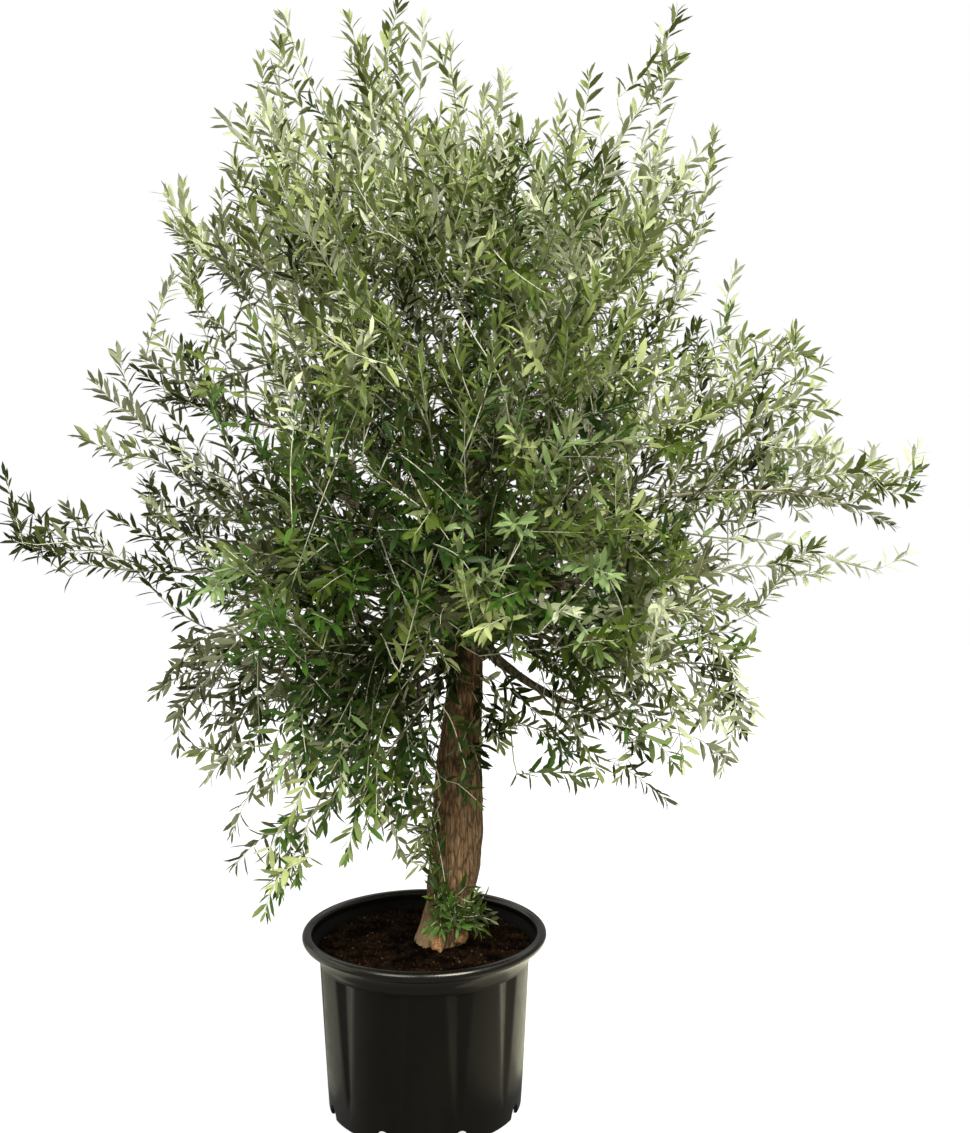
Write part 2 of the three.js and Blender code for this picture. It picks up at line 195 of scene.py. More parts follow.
def built_mesh(piece):
    """The mesh that a piece's modifiers make. The piece itself goes."""
    built = piece.evaluated_get(bpy.context.evaluated_depsgraph_get())
    mesh = bpy.data.meshes.new_from_object(built)
    bpy.data.objects.remove(piece)
    return mesh


def finish_piece(piece, nodes):
    """Hangs a finished piece on the tree's one body, in place of the CAD nodes it stands for."""
    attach(piece, "root")
    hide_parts(*nodes)


# ---- Camera, light and floor ----

WHITE = (1.0, 1.0, 1.0, 1.0)
CARD_LIGHT = (1.0, 0.97, 0.69)
FLOOR_RADIUS = 7.0


def stand(name, data, place=(0, 0, 0), pitch=0, turn=0):
    """Sets up a camera or lamp, which looks straight down until it is pitched up and turned."""
    stood = link(name, data)
    stood.location = place
    stood.rotation_euler = (math.radians(pitch), 0, math.radians(turn))
    return stood


def place_camera():
    data = bpy.data.cameras.new("camera")
    data.lens = 44.17
    bpy.context.scene.camera = stand("camera", data, (0.124, -2.774, 1.383), 90 - 5.5)


def place_sun(name, strength, spread, pitch, turn):
    """A soft lamp far away. pitch: degrees down from overhead, turn: degrees from the back."""
    data = bpy.data.lights.new(name, "SUN")
    data.energy = strength
    data.angle = math.radians(spread)
    stand(name, data, pitch=pitch, turn=turn)


def place_card(name, power, size, place, colour=CARD_LIGHT, tilt=0, mirrored=True):
    """A lamp that shines up from the floor, tilted from there to the back by some degrees.
    mirrored: whether it shows in what is glossy."""
    data = bpy.data.lights.new(name, "AREA")
    data.energy = power
    data.color = colour
    data.shape = "RECTANGLE"
    data.size, data.size_y = size
    lamp = stand(name, data, place, 180 - tilt)
    lamp.visible_camera = False
    lamp.visible_glossy = mirrored


def light_studio():
    world = bpy.data.worlds.new("studio")
    world.use_nodes = True
    sky = Nodes(world.node_tree)
    backdrop = sky.tree.nodes["Background"]
    backdrop.inputs["Color"].default_value = WHITE
    fill = sky.out("ShaderNodeBackground", {"Color": (1.0, 0.99, 0.96, 1.0), "Strength": 0.26})
    seen = sky.out("ShaderNodeLightPath", socket="Is Camera Ray")
    mix = sky.out("ShaderNodeMixShader", {"Fac": seen, 1: fill, 2: backdrop.outputs["Background"]})
    sky.feed(mix, sky.tree.nodes["World Output"].inputs["Surface"])
    bpy.context.scene.world = world
    bpy.context.scene.view_settings.view_transform = "Standard"
    place_sun("overhead_lamp", 1.9, 120, 0, 0)
    place_sun("key_lamp", 4.2, 30, 46, 34)
    place_sun("left_lamp", 1.4, 30, 52, -28)
    place_sun("left_side_lamp", 0.8, 70, 84, -97)
    place_card("left_card", 1.6, (1.0, 1.0), (-0.74, 0.45, 0.01))
    place_card("right_card", 4.6, (1.0, 0.85), (0.76, 0.48, 0.01))
    place_card("right_front_card", 1.0, (1.0, 0.5), (0.76, -0.20, 0.01))
    place_card("stem_card", 1.8, (0.30, 0.15), (0.02, -0.80, 0.54), (1.0, 0.97, 0.90), tilt=68,
               mirrored=False)


def lay_floor():
    """A pale round floor, which shows but throws no light on the tree."""
    paint = Paint("pale_floor", 0.8)
    paint.put("Base Color", (0.22, 0.22, 0.22, 1.0))
    paint.put("Emission Color", WHITE)
    paint.put("Emission Strength", 0.85)
    rim = [FLOOR_RADIUS * compass(turn) for turn in full_circle(64)]
    floor = link("studio_floor", mesh_from("studio_floor", rim, [range(64)], smooth=False))
    floor.data.materials.append(paint.material)
    floor.visible_diffuse = False
    floor.visible_glossy = False


# ---- Materials ----


class Nodes:
    """A node tree with short ways to add to it."""

    def __init__(self, tree):
        self.tree = tree

    def feed(self, value, socket):
        """Gives a socket a link or a value of its own."""
        if isinstance(value, bpy.types.NodeSocket):
            self.tree.links.new(value, socket)
        else:
            socket.default_value = value

    def node(self, kind, inputs=(), **settings):
        made = self.tree.nodes.new(kind)
        for name, value in settings.items():
            setattr(made, name, value)
        for socket, value in dict(inputs).items():
            self.feed(value, made.inputs[socket])
        return made

    def out(self, kind, inputs=(), socket=0, **settings):
        """One output of a new node."""
        return self.node(kind, inputs, **settings).outputs[socket]


class Paint(Nodes):
    """A material and its node tree."""

    def __init__(self, name, roughness, specular=0.5):
        self.material = bpy.data.materials.new(name)
        self.material.use_nodes = True
        super().__init__(self.material.node_tree)
        self.shader = self.tree.nodes["Principled BSDF"]
        self.put("Roughness", roughness)
        self.put("Specular IOR Level", specular)

    def put(self, label, value):
        """Gives one of the shader's own inputs a link or a value."""
        self.feed(value, self.shader.inputs[label])

    def coordinates(self, stretch=(1, 1, 1)):
        where = self.out("ShaderNodeTexCoord", socket="Object")
        return self.out("ShaderNodeMapping", {"Vector": where, "Scale": stretch})

    def grain(self, scale, detail=4.0, rough=0.55, stretch=(1, 1, 1)):
        where = self.coordinates(stretch)
        inputs = {"Vector": where, "Scale": scale, "Detail": detail, "Roughness": rough}
        return self.out("ShaderNodeTexNoise", inputs, "Fac")

    def cracks(self, scale, stretch):
        """Distance from the nearest crack in a net of cracks that wander a little."""
        where = self.coordinates(stretch)
        wander = self.out("ShaderNodeTexNoise", {"Vector": where, "Scale": 60, "Detail": 3}, "Color")
        inputs = {0: wander, 1: (0.016, 0.016, 0.016), 2: where}
        bent = self.out("ShaderNodeVectorMath", inputs, operation="MULTIPLY_ADD")
        inputs = {"Vector": bent, "Scale": scale}
        return self.out("ShaderNodeTexVoronoi", inputs, "Distance", feature="DISTANCE_TO_EDGE")

    def ramp(self, factor, stops):
        made = self.node("ShaderNodeValToRGB", {"Fac": factor})
        elements = made.color_ramp.elements
        while len(elements) < len(stops):
            elements.new(0.5)
        for element, (position, colour) in zip(elements, stops):
            element.position = position
            element.color = colour
        return made.outputs["Color"]

    def blend(self, factor, first, second, kind="MIX"):
        inputs = {"Factor": factor, 6: first, 7: second}
        return self.out("ShaderNodeMix", inputs, 2, data_type="RGBA", blend_type=kind)

    def range(self, value, low, high, to_low, to_high):
        inputs = {"Value": value, "From Min": low, "From Max": high, "To Min": to_low, "To Max": to_high}
        return self.out("ShaderNodeMapRange", inputs)

    def bump(self, height, distance, strength):
        inputs = {"Height": height, "Distance": distance, "Strength": strength}
        self.put("Normal", self.out("ShaderNodeBump", inputs))


def bark_paint(name, stops, stretch):
    """Weathered bark: colour follows a grain drawn out along it, and darkens deep in the furrows of the
    mesh as painted shade.
    The mesh may say where it is worn, and where the wood is cut."""
    paint = Paint(name, 0.9, 0.2)
    furrow, worn, cut = (paint.out("ShaderNodeAttribute", socket="Fac", attribute_name=label)
                         for label in ("furrow", "worn", "cut"))
    cracks = paint.cracks(95, (1, 1, 0.22))
    patches = paint.grain(14, 3, 0.5, (1, 1, 0.5))
    colour = paint.ramp(paint.grain(230, 6, 0.7, stretch), stops)
    tone = paint.ramp(patches, [(0.35, linear(196, 188, 176)), (0.7, linear(255, 250, 240))])
    weathered = paint.blend(0.75, colour, tone, "MULTIPLY")
    cracked = paint.blend(paint.range(cracks, 0.0, 0.16, 0.7, 0.0), weathered, linear(40, 30, 20))
    # Painted shade: the bark darkens deep in the furrows.
    shade = paint.blend(paint.range(furrow, 0.15, 0.9, 0.0, 0.8), cracked, linear(40, 30, 20))
    rubbed = paint.blend(paint.range(worn, 0.1, 0.8, 0.0, 0.6), shade, linear(148, 126, 92))
    wood = [(0.35, linear(88, 60, 34)), (0.7, linear(196, 150, 100))]
    splinters = paint.ramp(paint.grain(300, 4, 0.7), wood)
    paint.put("Base Color", paint.blend(cut, rubbed, splinters))
    ridges = paint.range(cracks, 0.0, 0.2, 0.0, 1.0)
    paint.bump(paint.blend(0.6, paint.grain(300, 5, 0.7, stretch), ridges), 0.0022, 0.9)
    return paint.material


def plastic_paint(name, black, dusty, specular, smoothest):
    """Satin near-black polypropylene with a little dust and handling wear."""
    paint = Paint(name, 0.42, specular)
    paint.put("Specular Tint", (1.0, 0.95, 0.80, 1.0))
    dust = paint.grain(9, 5, 0.6, (1, 1, 0.35))
    paint.put("Base Color", paint.blend(paint.range(dust, 0.48, 0.8, 0.0, 0.5), black, dusty))
    satin = paint.range(paint.grain(40, 4, 0.6), 0.3, 0.7, smoothest, smoothest + 0.10)
    paint.put("Roughness", satin)
    paint.bump(paint.grain(420, 2, 0.5), 0.0002, 0.35)
    return paint.material


def peat_paint(name, dark, light):
    paint = Paint(name, 1.0, 0.02)
    colour = paint.ramp(paint.grain(130, 6, 0.7), [(0.35, dark), (0.72, light)])
    patches = [(0.42, linear(110, 100, 92)), (0.60, linear(255, 250, 245))]
    damp = paint.ramp(paint.grain(24, 4, 0.6), patches)
    paint.put("Base Color", paint.blend(1.0, colour, damp, "MULTIPLY"))
    paint.bump(paint.grain(300, 5, 0.7), 0.002, 0.9)
    return paint.material


def plain_paint(name, colour, roughness, specular):
    paint = Paint(name, roughness, specular)
    paint.put("Base Color", colour)
    return paint.material


# Leaf tones in painted light and shade: from the crown's shade to its lit edge, and three greener ones
# for fresh growth, shaded to lit.
# Each holds the colour of the upper face and that of the silvery under face.
LEAF_TONES = {
    "shade": (linear(33, 46, 7), linear(70, 78, 32)),
    "deep": (linear(54, 69, 14), linear(100, 108, 52)),
    "olive": (linear(82, 99, 35), linear(132, 141, 82)),
    "grey_green": (linear(115, 131, 64), linear(157, 165, 108)),
    "pale": (linear(158, 168, 106), linear(187, 193, 150)),
    "silver": (linear(190, 196, 154), linear(212, 216, 184)),
    "dusk": (linear(57, 61, 34), linear(104, 107, 74)),
    "dusty": (linear(94, 98, 60), linear(146, 149, 114)),
    "moss": (linear(36, 59, 15), linear(70, 84, 38)),
    "fresh": (linear(64, 95, 30), linear(106, 122, 66)),
    "young": (linear(128, 151, 92), linear(176, 186, 134)),
}
CROWN_HEART = np.array([0.09, 0.0, 1.35])
CROWN_REACH = np.array([0.75, 0.55, 0.80])
SHADE_LADDER = ("shade", "deep", "olive", "grey_green", "pale", "silver")

# ---- Geometry Nodes ----


class Tree(Nodes):
    """A geometry node tree with named inputs, built from the first node to the last."""

    def __init__(self, name, inputs):
        super().__init__(bpy.data.node_groups.new(name, "GeometryNodeTree"))
        face = self.tree.interface
        for label, kind in {"Geometry": "Geometry", **inputs}.items():
            face.new_socket(label, in_out="INPUT", socket_type="NodeSocket" + kind)
        face.new_socket("Geometry", in_out="OUTPUT", socket_type="NodeSocketGeometry")
        self.given = self.tree.nodes.new("NodeGroupInput").outputs

    def attribute(self, name, kind):
        return self.out("GeometryNodeInputNamedAttribute", {"Name": name}, data_type=kind)

    def math(self, operation, *inputs):
        return self.out("ShaderNodeVectorMath", enumerate(inputs), operation=operation)

    def on_points(self, points, what, turn, size):
        """An object of the inputs on every point, made real."""
        copied = self.out("GeometryNodeObjectInfo", {"Object": self.given[what]}, "Geometry")
        placed = self.out("GeometryNodeInstanceOnPoints", {
            "Points": points,
            "Instance": copied,
            "Rotation": turn,
            "Scale": size,
        })
        return self.out("GeometryNodeRealizeInstances", {"Geometry": placed})

    def painted(self, geometry, material, **only):
        """The geometry in a material of the inputs, or only what Selection says."""
        inputs = {"Geometry": geometry, "Material": self.given[material], **only}
        return self.out("GeometryNodeSetMaterial", inputs)

    def end(self, geometry):
        self.node("NodeGroupOutput", {"Geometry": geometry})
        return self.tree


def leaf_tree():
    """Sets one leaf on each point, turned and sized by the point's own attributes."""
    tree = Tree("leaves_on_points", {
        "Leaf": "Object",
        "Leaf length": "Float",
        "Leaf width": "Float",
        "Upper face": "Material",
        "Under face": "Material",
    })
    width = tree.given["Leaf width"]
    full = tree.out("ShaderNodeCombineXYZ", {"X": tree.given["Leaf length"], "Y": width, "Z": width})
    size = tree.math("MULTIPLY", tree.attribute("size", "FLOAT_VECTOR"), full)
    turn = tree.attribute("turn", "QUATERNION")
    leaves = tree.on_points(tree.given["Geometry"], "Leaf", turn, size)
    upper = tree.painted(leaves, "Upper face")
    return tree.end(tree.painted(upper, "Under face", Selection=tree.attribute("under", "BOOLEAN")))


def tube_tree():
    """Turns lines into closed tubes, each as thick as the thickness attribute says."""
    tree = Tree("tubes_on_lines", {"Sides": "Int", "Bark": "Material"})
    line = tree.out("GeometryNodeMeshToCurve", {"Mesh": tree.given["Geometry"]})
    sides = tree.given["Sides"]
    ring = tree.out("GeometryNodeCurvePrimitiveCircle", {"Resolution": sides, "Radius": 1.0})
    tube = tree.out("GeometryNodeCurveToMesh", {
        "Curve": line,
        "Profile Curve": ring,
        "Scale": tree.attribute("thickness", "FLOAT"),
        "Fill Caps": True,
    })
    soft = tree.out("GeometryNodeSetShadeSmooth", {"Geometry": tube})
    real = tree.out("GeometryNodeRealizeInstances", {"Geometry": soft})
    return tree.end(tree.painted(real, "Bark"))


def crumb_tree():
    """Scatters crumbs over the upward faces of a surface."""
    tree = Tree("crumbs_on_soil", {
        "Crumb": "Object",
        "Crumbs per square metre": "Float",
        "Smallest": "Float",
        "Largest": "Float",
        "Reach": "Float",
        "Seed": "Int",
        "Crumb finish": "Material",
    })
    given = tree.given
    height = tree.out("ShaderNodeSeparateXYZ", {"Vector": tree.out("GeometryNodeInputNormal")}, "Z")
    upward = tree.out("FunctionNodeCompare", {0: height, 1: 0.6}, operation="GREATER_THAN")
    level = tree.math("MULTIPLY", tree.out("GeometryNodeInputPosition"), (1, 1, 0))
    away = tree.out("ShaderNodeVectorMath", {0: level}, "Value", operation="LENGTH")
    inside = tree.out("FunctionNodeCompare", {0: away, 1: given["Reach"]}, operation="LESS_THAN")
    spots = tree.out("GeometryNodeDistributePointsOnFaces", {
        "Mesh": given["Geometry"],
        "Selection": tree.out("FunctionNodeBooleanMath", {0: upward, 1: inside}),
        "Density": given["Crumbs per square metre"],
        "Seed": given["Seed"],
    })
    turns = {"Min": (0, 0, 0), "Max": (6.28, 6.28, 6.28), "Seed": 3}
    turn = tree.out("FunctionNodeRandomValue", turns, data_type="FLOAT_VECTOR")
    sizes = {2: given["Smallest"], 3: given["Largest"], "Seed": given["Seed"]}
    size = tree.out("FunctionNodeRandomValue", sizes, 1, data_type="FLOAT")
    return tree.end(tree.painted(tree.on_points(spots, "Crumb", turn, size), "Crumb finish"))


def run_tree(name, mesh, tree, values):
    """Runs a tree on a mesh and returns the outcome as a plain piece."""
    source = link(name + "_source", mesh)
    modifier = source.modifiers.new("build", "NODES")
    modifier.node_group = tree
    sockets = {item.name: item.identifier for item in tree.interface.items_tree if item.in_out == "INPUT"}
    for label, value in values.items():
        modifier[sockets[label]] = value
    return link(name, built_mesh(source))


# ---- Pot ----


def body_radius(height):
    return FOOT_RADIUS + (NECK_RADIUS - FOOT_RADIUS) * height / NECK_HEIGHT


def outer_radius(height):
    """The pot's outside between the flutes: an even taper, with a small step and a flare on top."""
    if height < FLARE_FOOT:
        return body_radius(height)
    share = min(1.0, (height - FLARE_FOOT) / (FLARE_TOP - FLARE_FOOT))
    neck = body_radius(FLARE_FOOT)
    return neck + 0.0014 + (BEAD_CENTRE - 0.007 - neck) * share ** FLARE_POWER


def inner_radius(height):
    """The pot's inside, which clears the flutes below the flare."""
    flutes = FLUTE_DEPTHS[1] * (1 - smooth_step(FLUTE_TOP, FLARE_FOOT + 0.004, height))
    return min(outer_radius(height) - WALL - flutes, BEAD_CENTRE - BEAD_RADIUS + 0.0004)


def pot_ring(radius, height, flute_width, flute_depth):
    """One ring of the pot, with columns that keep to the flutes' edges all the way up."""
    pitch = 2 * math.pi / FLUTE_COUNT
    half = flute_width / 2 / body_radius(height)
    across = np.linspace(-1, 1, FLUTE_COLUMNS, endpoint=False)
    stave = np.linspace(half, pitch - half, STAVE_COLUMNS, endpoint=False)
    angles = np.concatenate([across * half, stave])
    valley = np.concatenate([1 - np.abs(across) ** 1.25, np.zeros(STAVE_COLUMNS)])
    turns = math.radians(FLUTE_TURN) + pitch * np.arange(FLUTE_COUNT)[:, None] + angles[None, :]
    radii = np.tile(radius - flute_depth * valley, FLUTE_COUNT)
    turns = turns.ravel()
    return np.stack([radii * np.cos(turns), radii * np.sin(turns), np.full(len(turns), height)], axis=1)


def pot_rings():
    """The pot's rings from the middle of its underside, up its outside and down its inside."""
    rings = []

    def plain(radius, height):
        rings.append(pot_ring(radius, height, FLUTE_WIDTHS[1], 0.0))

    plain(0.002, FOOT_RECESS)
    plain(FOOT_RADIUS - FOOT_RIM - 0.002, FOOT_RECESS)
    plain(FOOT_RADIUS - FOOT_RIM, 0.0)
    for angle in np.radians(np.linspace(-90, 0, 6)):
        plain(FOOT_RADIUS - FOOT_ROUNDING * (1 - math.cos(angle)), FOOT_ROUNDING * (1 + math.sin(angle)))
    for share in np.linspace(0, 1, 26):
        height, width, depth = (low + share * (high - low) for low, high in
                                ((FLUTE_FOOT, FLUTE_TOP), FLUTE_WIDTHS, FLUTE_DEPTHS))
        rings.append(pot_ring(body_radius(height), height, width, depth * min(1, share * 8)))
    plain(body_radius(FLUTE_TOP) + 0.0008, FLUTE_TOP + 0.0008)
    plain(body_radius(FLUTE_TOP) + 0.0012, FLUTE_TOP + 0.003)
    for height in np.linspace(FLARE_FOOT, FLARE_TOP, 12):
        plain(outer_radius(height), height)
    for angle in np.radians(np.linspace(-100, 190, 22)):
        plain(BEAD_CENTRE + BEAD_RADIUS * math.cos(angle), BEAD_HEIGHT + BEAD_RADIUS * math.sin(angle))
    for height in [*np.linspace(FLARE_TOP, FLUTE_TOP - 0.002, 12), POT_FLOOR + 0.01]:
        plain(inner_radius(height), height)
    plain(inner_radius(POT_FLOOR) - 0.008, POT_FLOOR)
    plain(0.002, POT_FLOOR)
    return rings


def ring_faces(rings, columns):
    """Quads between neighbouring rings, and a face over each end."""
    faces = []
    for r in range(rings - 1):
        for c in range(columns):
            a = r * columns + c
            b = r * columns + (c + 1) % columns
            faces.append((a, b, b + columns, a + columns))
    last = (rings - 1) * columns
    faces.append(tuple(range(columns))[::-1])
    faces.append(tuple(range(last, last + columns)))
    return faces


def notch_cutters():
    """One mesh of rounded arches, set where the drain notches go through the foot's edge."""
    arch = [(math.cos(a), math.sin(a)) for a in np.linspace(0, math.pi, 13)]
    outline = [(1.0, -0.4), *arch, (-1.0, -0.4)]
    points, faces = [], []
    for notch in range(NOTCH_COUNT):
        turn = math.radians(NOTCH_TURN + notch * 360 / NOTCH_COUNT)
        side = compass(turn + math.pi / 2) * NOTCH_WIDTH / 2
        first = len(points)
        for reach in (FOOT_RADIUS - NOTCH_DEPTH, FOOT_RADIUS + NOTCH_DEPTH):
            for across, rise in outline:
                points.append(compass(turn) * reach + side * across + UP * rise * NOTCH_HEIGHT)
        faces += [[first + corner for corner in face] for face in ring_faces(2, len(outline))]
    return mesh_from("notch_cutters", points, faces, smooth=False)


# The pot's finishes: name, colour clean and dusty, gloss and least roughness.
POT_FINISHES = [
    ("pot_satin", linear(9, 8, 6), linear(22, 20, 13), 0.22, 0.30),
    ("pot_rim_satin", linear(10, 9, 7), linear(24, 22, 16), 0.50, 0.17),
    # Painted shade: the inside is the same plastic made darker, with almost no gloss.
    ("pot_inside_dull", linear(7, 7, 5), linear(14, 14, 10), 0.04, 0.50),
]


def pot_finish(place):
    """Which finish a place on the pot has: 0 for its outside, 1 for its rim, 2 for its inside, which is
    painted darker as shade.
    """
    if place.z > BEAD_HEIGHT - 0.3 * BEAD_RADIUS:
        return 1
    if math.hypot(place.x, place.y) < outer_radius(place.z) - FLUTE_DEPTHS[1] - 0.001:
        return 2
    if place.z > FLARE_FOOT and math.hypot(place.x, place.y) < outer_radius(place.z) - 0.5 * WALL:
        return 2
    return 1 if place.z > FLARE_FOOT else 0


def drop_slivers(mesh):
    """Takes out the slivers that the notch cuts leave."""
    shape = bmesh.new()
    shape.from_mesh(mesh)
    bmesh.ops.triangulate(shape, faces=shape.faces)
    bmesh.ops.remove_doubles(shape, verts=shape.verts, dist=SLIVER)
    bmesh.ops.dissolve_degenerate(shape, edges=shape.edges, dist=SLIVER)
    shape.to_mesh(mesh)
    shape.free()


def make_pot():
    rings = pot_rings()
    mesh = mesh_from("pot", np.concatenate(rings), ring_faces(len(rings), len(rings[0])))
    whole = link("pot_whole", mesh)
    cutters = link("notch_cutters", notch_cutters())
    cut = whole.modifiers.new("notches", "BOOLEAN")
    cut.operation = "DIFFERENCE"
    cut.solver = "EXACT"
    cut.object = cutters
    mesh = built_mesh(whole)
    bpy.data.objects.remove(cutters)
    drop_slivers(mesh)
    mesh.set_sharp_from_angle(angle=math.radians(34))
    mesh.materials.clear()
    for finish in POT_FINISHES:
        mesh.materials.append(plastic_paint(*finish))
    mesh.polygons.foreach_set("material_index", [pot_finish(face.center) for face in mesh.polygons])
    finish_piece(link("fluted_pot", mesh), ["pot"])


# ---- Soil ----

# Loose pieces on the soil: name, how many on a square metre, the largest, and the finish.
CRUMBS = [
    ("peat_crumbs", 14000.0, 0.0040, "dark_crumbs", linear(12, 8, 4), linear(50, 36, 22)),
    ("peat_clods", 2600.0, 0.0056, "clods", linear(14, 8, 4), linear(46, 29, 14)),
    ("bark_chips", 1100.0, 0.0030, "light_crumbs", linear(58, 40, 22), linear(112, 84, 52)),
]


def make_soil(trunk):
    """A lumpy peat surface that mounds up a little round the trunk, and its loose crumbs."""
    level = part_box("soil")[1].z
    outer = inner_radius(level - 0.004) + 0.001
    points = []
    for radius in np.linspace(0.0015, outer, SOIL_ROWS):
        for x, y, _ in (radius * compass(turn) for turn in full_circle(SOIL_COLUMNS)):
            lumps = noise.fractal((x * 42, y * 42, 2.3), 0.8, 2.1, 5)
            mound = 0.007 * math.exp(-((math.hypot(x - trunk.x[0], y - trunk.y[0]) / 0.085) ** 2))
            edge = 0.003 * smooth_step(outer - 0.03, outer, radius)
            points.append((x, y, level - 0.003 + 0.0048 * lumps + mound - edge))
    for radius in (inner_radius(level - 0.03) - 0.002, 0.0015):
        points += [radius * compass(turn) + UP * (level - 0.03) for turn in full_circle(SOIL_COLUMNS)]
    faces = [face[::-1] for face in ring_faces(SOIL_ROWS + 2, SOIL_COLUMNS)]
    soil = link("peat_soil", mesh_from("peat_soil", points, faces))
    soil.data.materials.append(peat_paint("peat", linear(9, 6, 3), linear(34, 24, 13)))
    crumb = link("crumb", crumb_mesh())
    tree = crumb_tree()
    for k, (name, density, largest, finish, dark, light) in enumerate(CRUMBS):
        scattered = run_tree(name, soil.data.copy(), tree, {
            "Crumb": crumb,
            "Crumbs per square metre": density,
            "Smallest": 0.0012,
            "Largest": largest,
            "Reach": inner_radius(level) - 0.008,
            "Seed": SEED + k,
            "Crumb finish": peat_paint(finish, dark, light),
        })
        finish_piece(scattered, ["soil"])
    bpy.data.objects.remove(crumb)
    finish_piece(soil, ["soil"])


def crumb_mesh():
    """A small uneven lump: a cube's corners with two of its ends drawn out."""
    corners = [(x, y, z) for z in (-1, 1) for y in (-1, 1) for x in (-1, 1)]
    uneven = [(0.8, 0.5, 0.6), (1.0, 0.7, 0.5), (0.7, 0.6, 0.8), (0.9, 0.8, 0.5),
              (0.6, 0.5, 0.6), (1.1, 0.4, 0.7), (0.7, 0.7, 0.5), (0.8, 0.5, 0.8)]
    points = [tuple(c * u for c, u in zip(corner, scale)) for corner, scale in zip(corners, uneven)]
    faces = [(0, 2, 3, 1), (4, 5, 7, 6), (0, 1, 5, 4), (2, 6, 7, 3), (0, 4, 6, 2), (1, 3, 7, 5)]
    return mesh_from("crumb", points, faces, smooth=False)


# ---- Reading the frame ----


def node_points(name):
    """The separate corners of a CAD node."""
    vertices = frame["nodes"][name].data.vertices
    flat = np.zeros(len(vertices) * 3)
    vertices.foreach_get("co", flat)
    return np.unique(np.round(flat.reshape(-1, 3), 5), axis=0)


class Trunk:
    """The trunk's centreline, its mean radius and its outline at every height of the CAD trunk."""

    def __init__(self):
        points = node_points("trunk")
        self.z, self.x, self.y, self.radius, self.outline = [], [], [], [], []
        self.sides = full_circle(TRUNK_SIDES)
        for height in np.unique(np.round(points[:, 2], 4)):
            ring = points[np.abs(points[:, 2] - height) < 2e-4]
            centre = ring[:, :2].mean(axis=0)
            arms = ring[:, :2] - centre
            radii = np.hypot(*arms.T)
            on_edge = radii > 0.5 * radii.max()
            radii = radii[on_edge]
            turns = np.arctan2(arms[:, 1], arms[:, 0])[on_edge]
            order = np.argsort(turns)
            self.z.append(height)
            self.x.append(centre[0])
            self.y.append(centre[1])
            self.radius.append(radii.mean())
            self.outline.append(np.interp(self.sides, turns[order] % (2 * math.pi), radii[order],
                                          period=2 * math.pi))
        self.outline = np.array(self.outline)

    def centre(self, height):
        return np.array([np.interp(height, self.z, self.x), np.interp(height, self.z, self.y), height])

    def radius_at(self, height):
        return float(np.interp(height, self.z, self.radius))


class Mass:
    """One CAD mass of foliage: its centre, its faces for measuring, and its volume."""

    def __init__(self, name):
        mesh = frame["nodes"][name].data
        self.name = name
        self.part = name.removeprefix("foliage_")
        self.points = node_points(name)
        self.centre = self.points.mean(axis=0)
        self.surface = BVHTree.FromPolygons([v.co for v in mesh.vertices],
                                            [tuple(p.vertices) for p in mesh.polygons])
        self.rays = even_directions(RAY_COUNT)
        self.reach = np.array([self.distance(ray) for ray in self.rays])
        self.volume = 4 / 3 * math.pi * float(np.mean(self.reach ** 3))

    def distance(self, direction):
        """How far it is from the centre to the surface along a direction."""
        found = self.surface.ray_cast(Vector(self.centre), Vector(direction))[3]
        return found or 0.02


def even_directions(count):
    """Directions spread evenly over a sphere, on a golden spiral."""
    k = np.arange(count) + 0.5
    height = 1 - 2 * k / count
    turn = math.pi * (1 + math.sqrt(5)) * k
    flat = np.sqrt(1 - height ** 2)
    return np.stack([flat * np.cos(turn), flat * np.sin(turn), height], axis=1)


def bough_line(name, trunk):
    """Centres and radii along a CAD bough, from the trunk's middle to its cut end."""
    points = node_points(name)
    middle = points.mean(axis=0)
    axis = np.linalg.svd(points - middle)[2][0]
    from_trunk = np.hypot(points[:, 0] - np.interp(points[:, 2], trunk.z, trunk.x),
                          points[:, 1] - np.interp(points[:, 2], trunk.z, trunk.y))
    if np.corrcoef((points - middle) @ axis, from_trunk)[0, 1] < 0:
        axis = -axis
    along = (points - middle) @ axis
    edges = np.linspace(along.min(), along.max() + 1e-6, 5)
    centres, radii = [], []
    for low, high in zip(edges[:-1], edges[1:]):
        near = points[(along >= low - 0.004) & (along <= high + 0.004)]
        if len(near) < 4:
            continue
        centre = (near.min(axis=0) + near.max(axis=0)) / 2
        across = near - centre
        across -= np.outer(across @ axis, axis)
        centres.append(centre)
        radii.append(float(np.median(np.linalg.norm(across, axis=1))))
    foot = trunk.centre(max(centres[0][2] - 0.02, trunk.z[0]))
    return [foot, *centres], [radii[0] * 1.1, *radii]


# ---- Trunk ----


def ripple(x, y, z):
    """Smooth noise between -1 and 1 at a place."""
    return noise.noise((x, y, z))


def bark_relief(place, around, coarse):
    """Height of the bark above its mean at a place, and how deep in a furrow the place lies.
    coarse is 1 on old wood at the foot and 0 on young smooth wood."""
    x, y, z = place
    out, side = around
    warp = 0.35 * ripple(x * 30, y * 30, z * 12)
    along = z * 17
    first = ripple(out * 6.5 + warp, side * 6.5, along)
    second = ripple(out * 13.0, side * 13.0 + warp, along * 1.8 + 7)
    fine = ripple(out * 24.0, side * 24.0, along * 3 + 3)
    furrow = max(0.0, 1 - 4.5 * abs(first)) * 0.55 + max(0.0, 1 - 4.0 * abs(second)) * 0.5
    knobs = ripple(x * 26, y * 26, z * 22 + 5)
    height = coarse * (0.0024 * knobs + 0.0008 * fine - 0.0022 * furrow)
    return height + 0.0003 * fine, min(1.0, furrow * (0.3 + 0.7 * coarse))


# Two pruned stubs low on the front of the stem: X, height and radius.
STUBS = [(0.028, 0.356, 0.020), (0.072, 0.358, 0.015)]


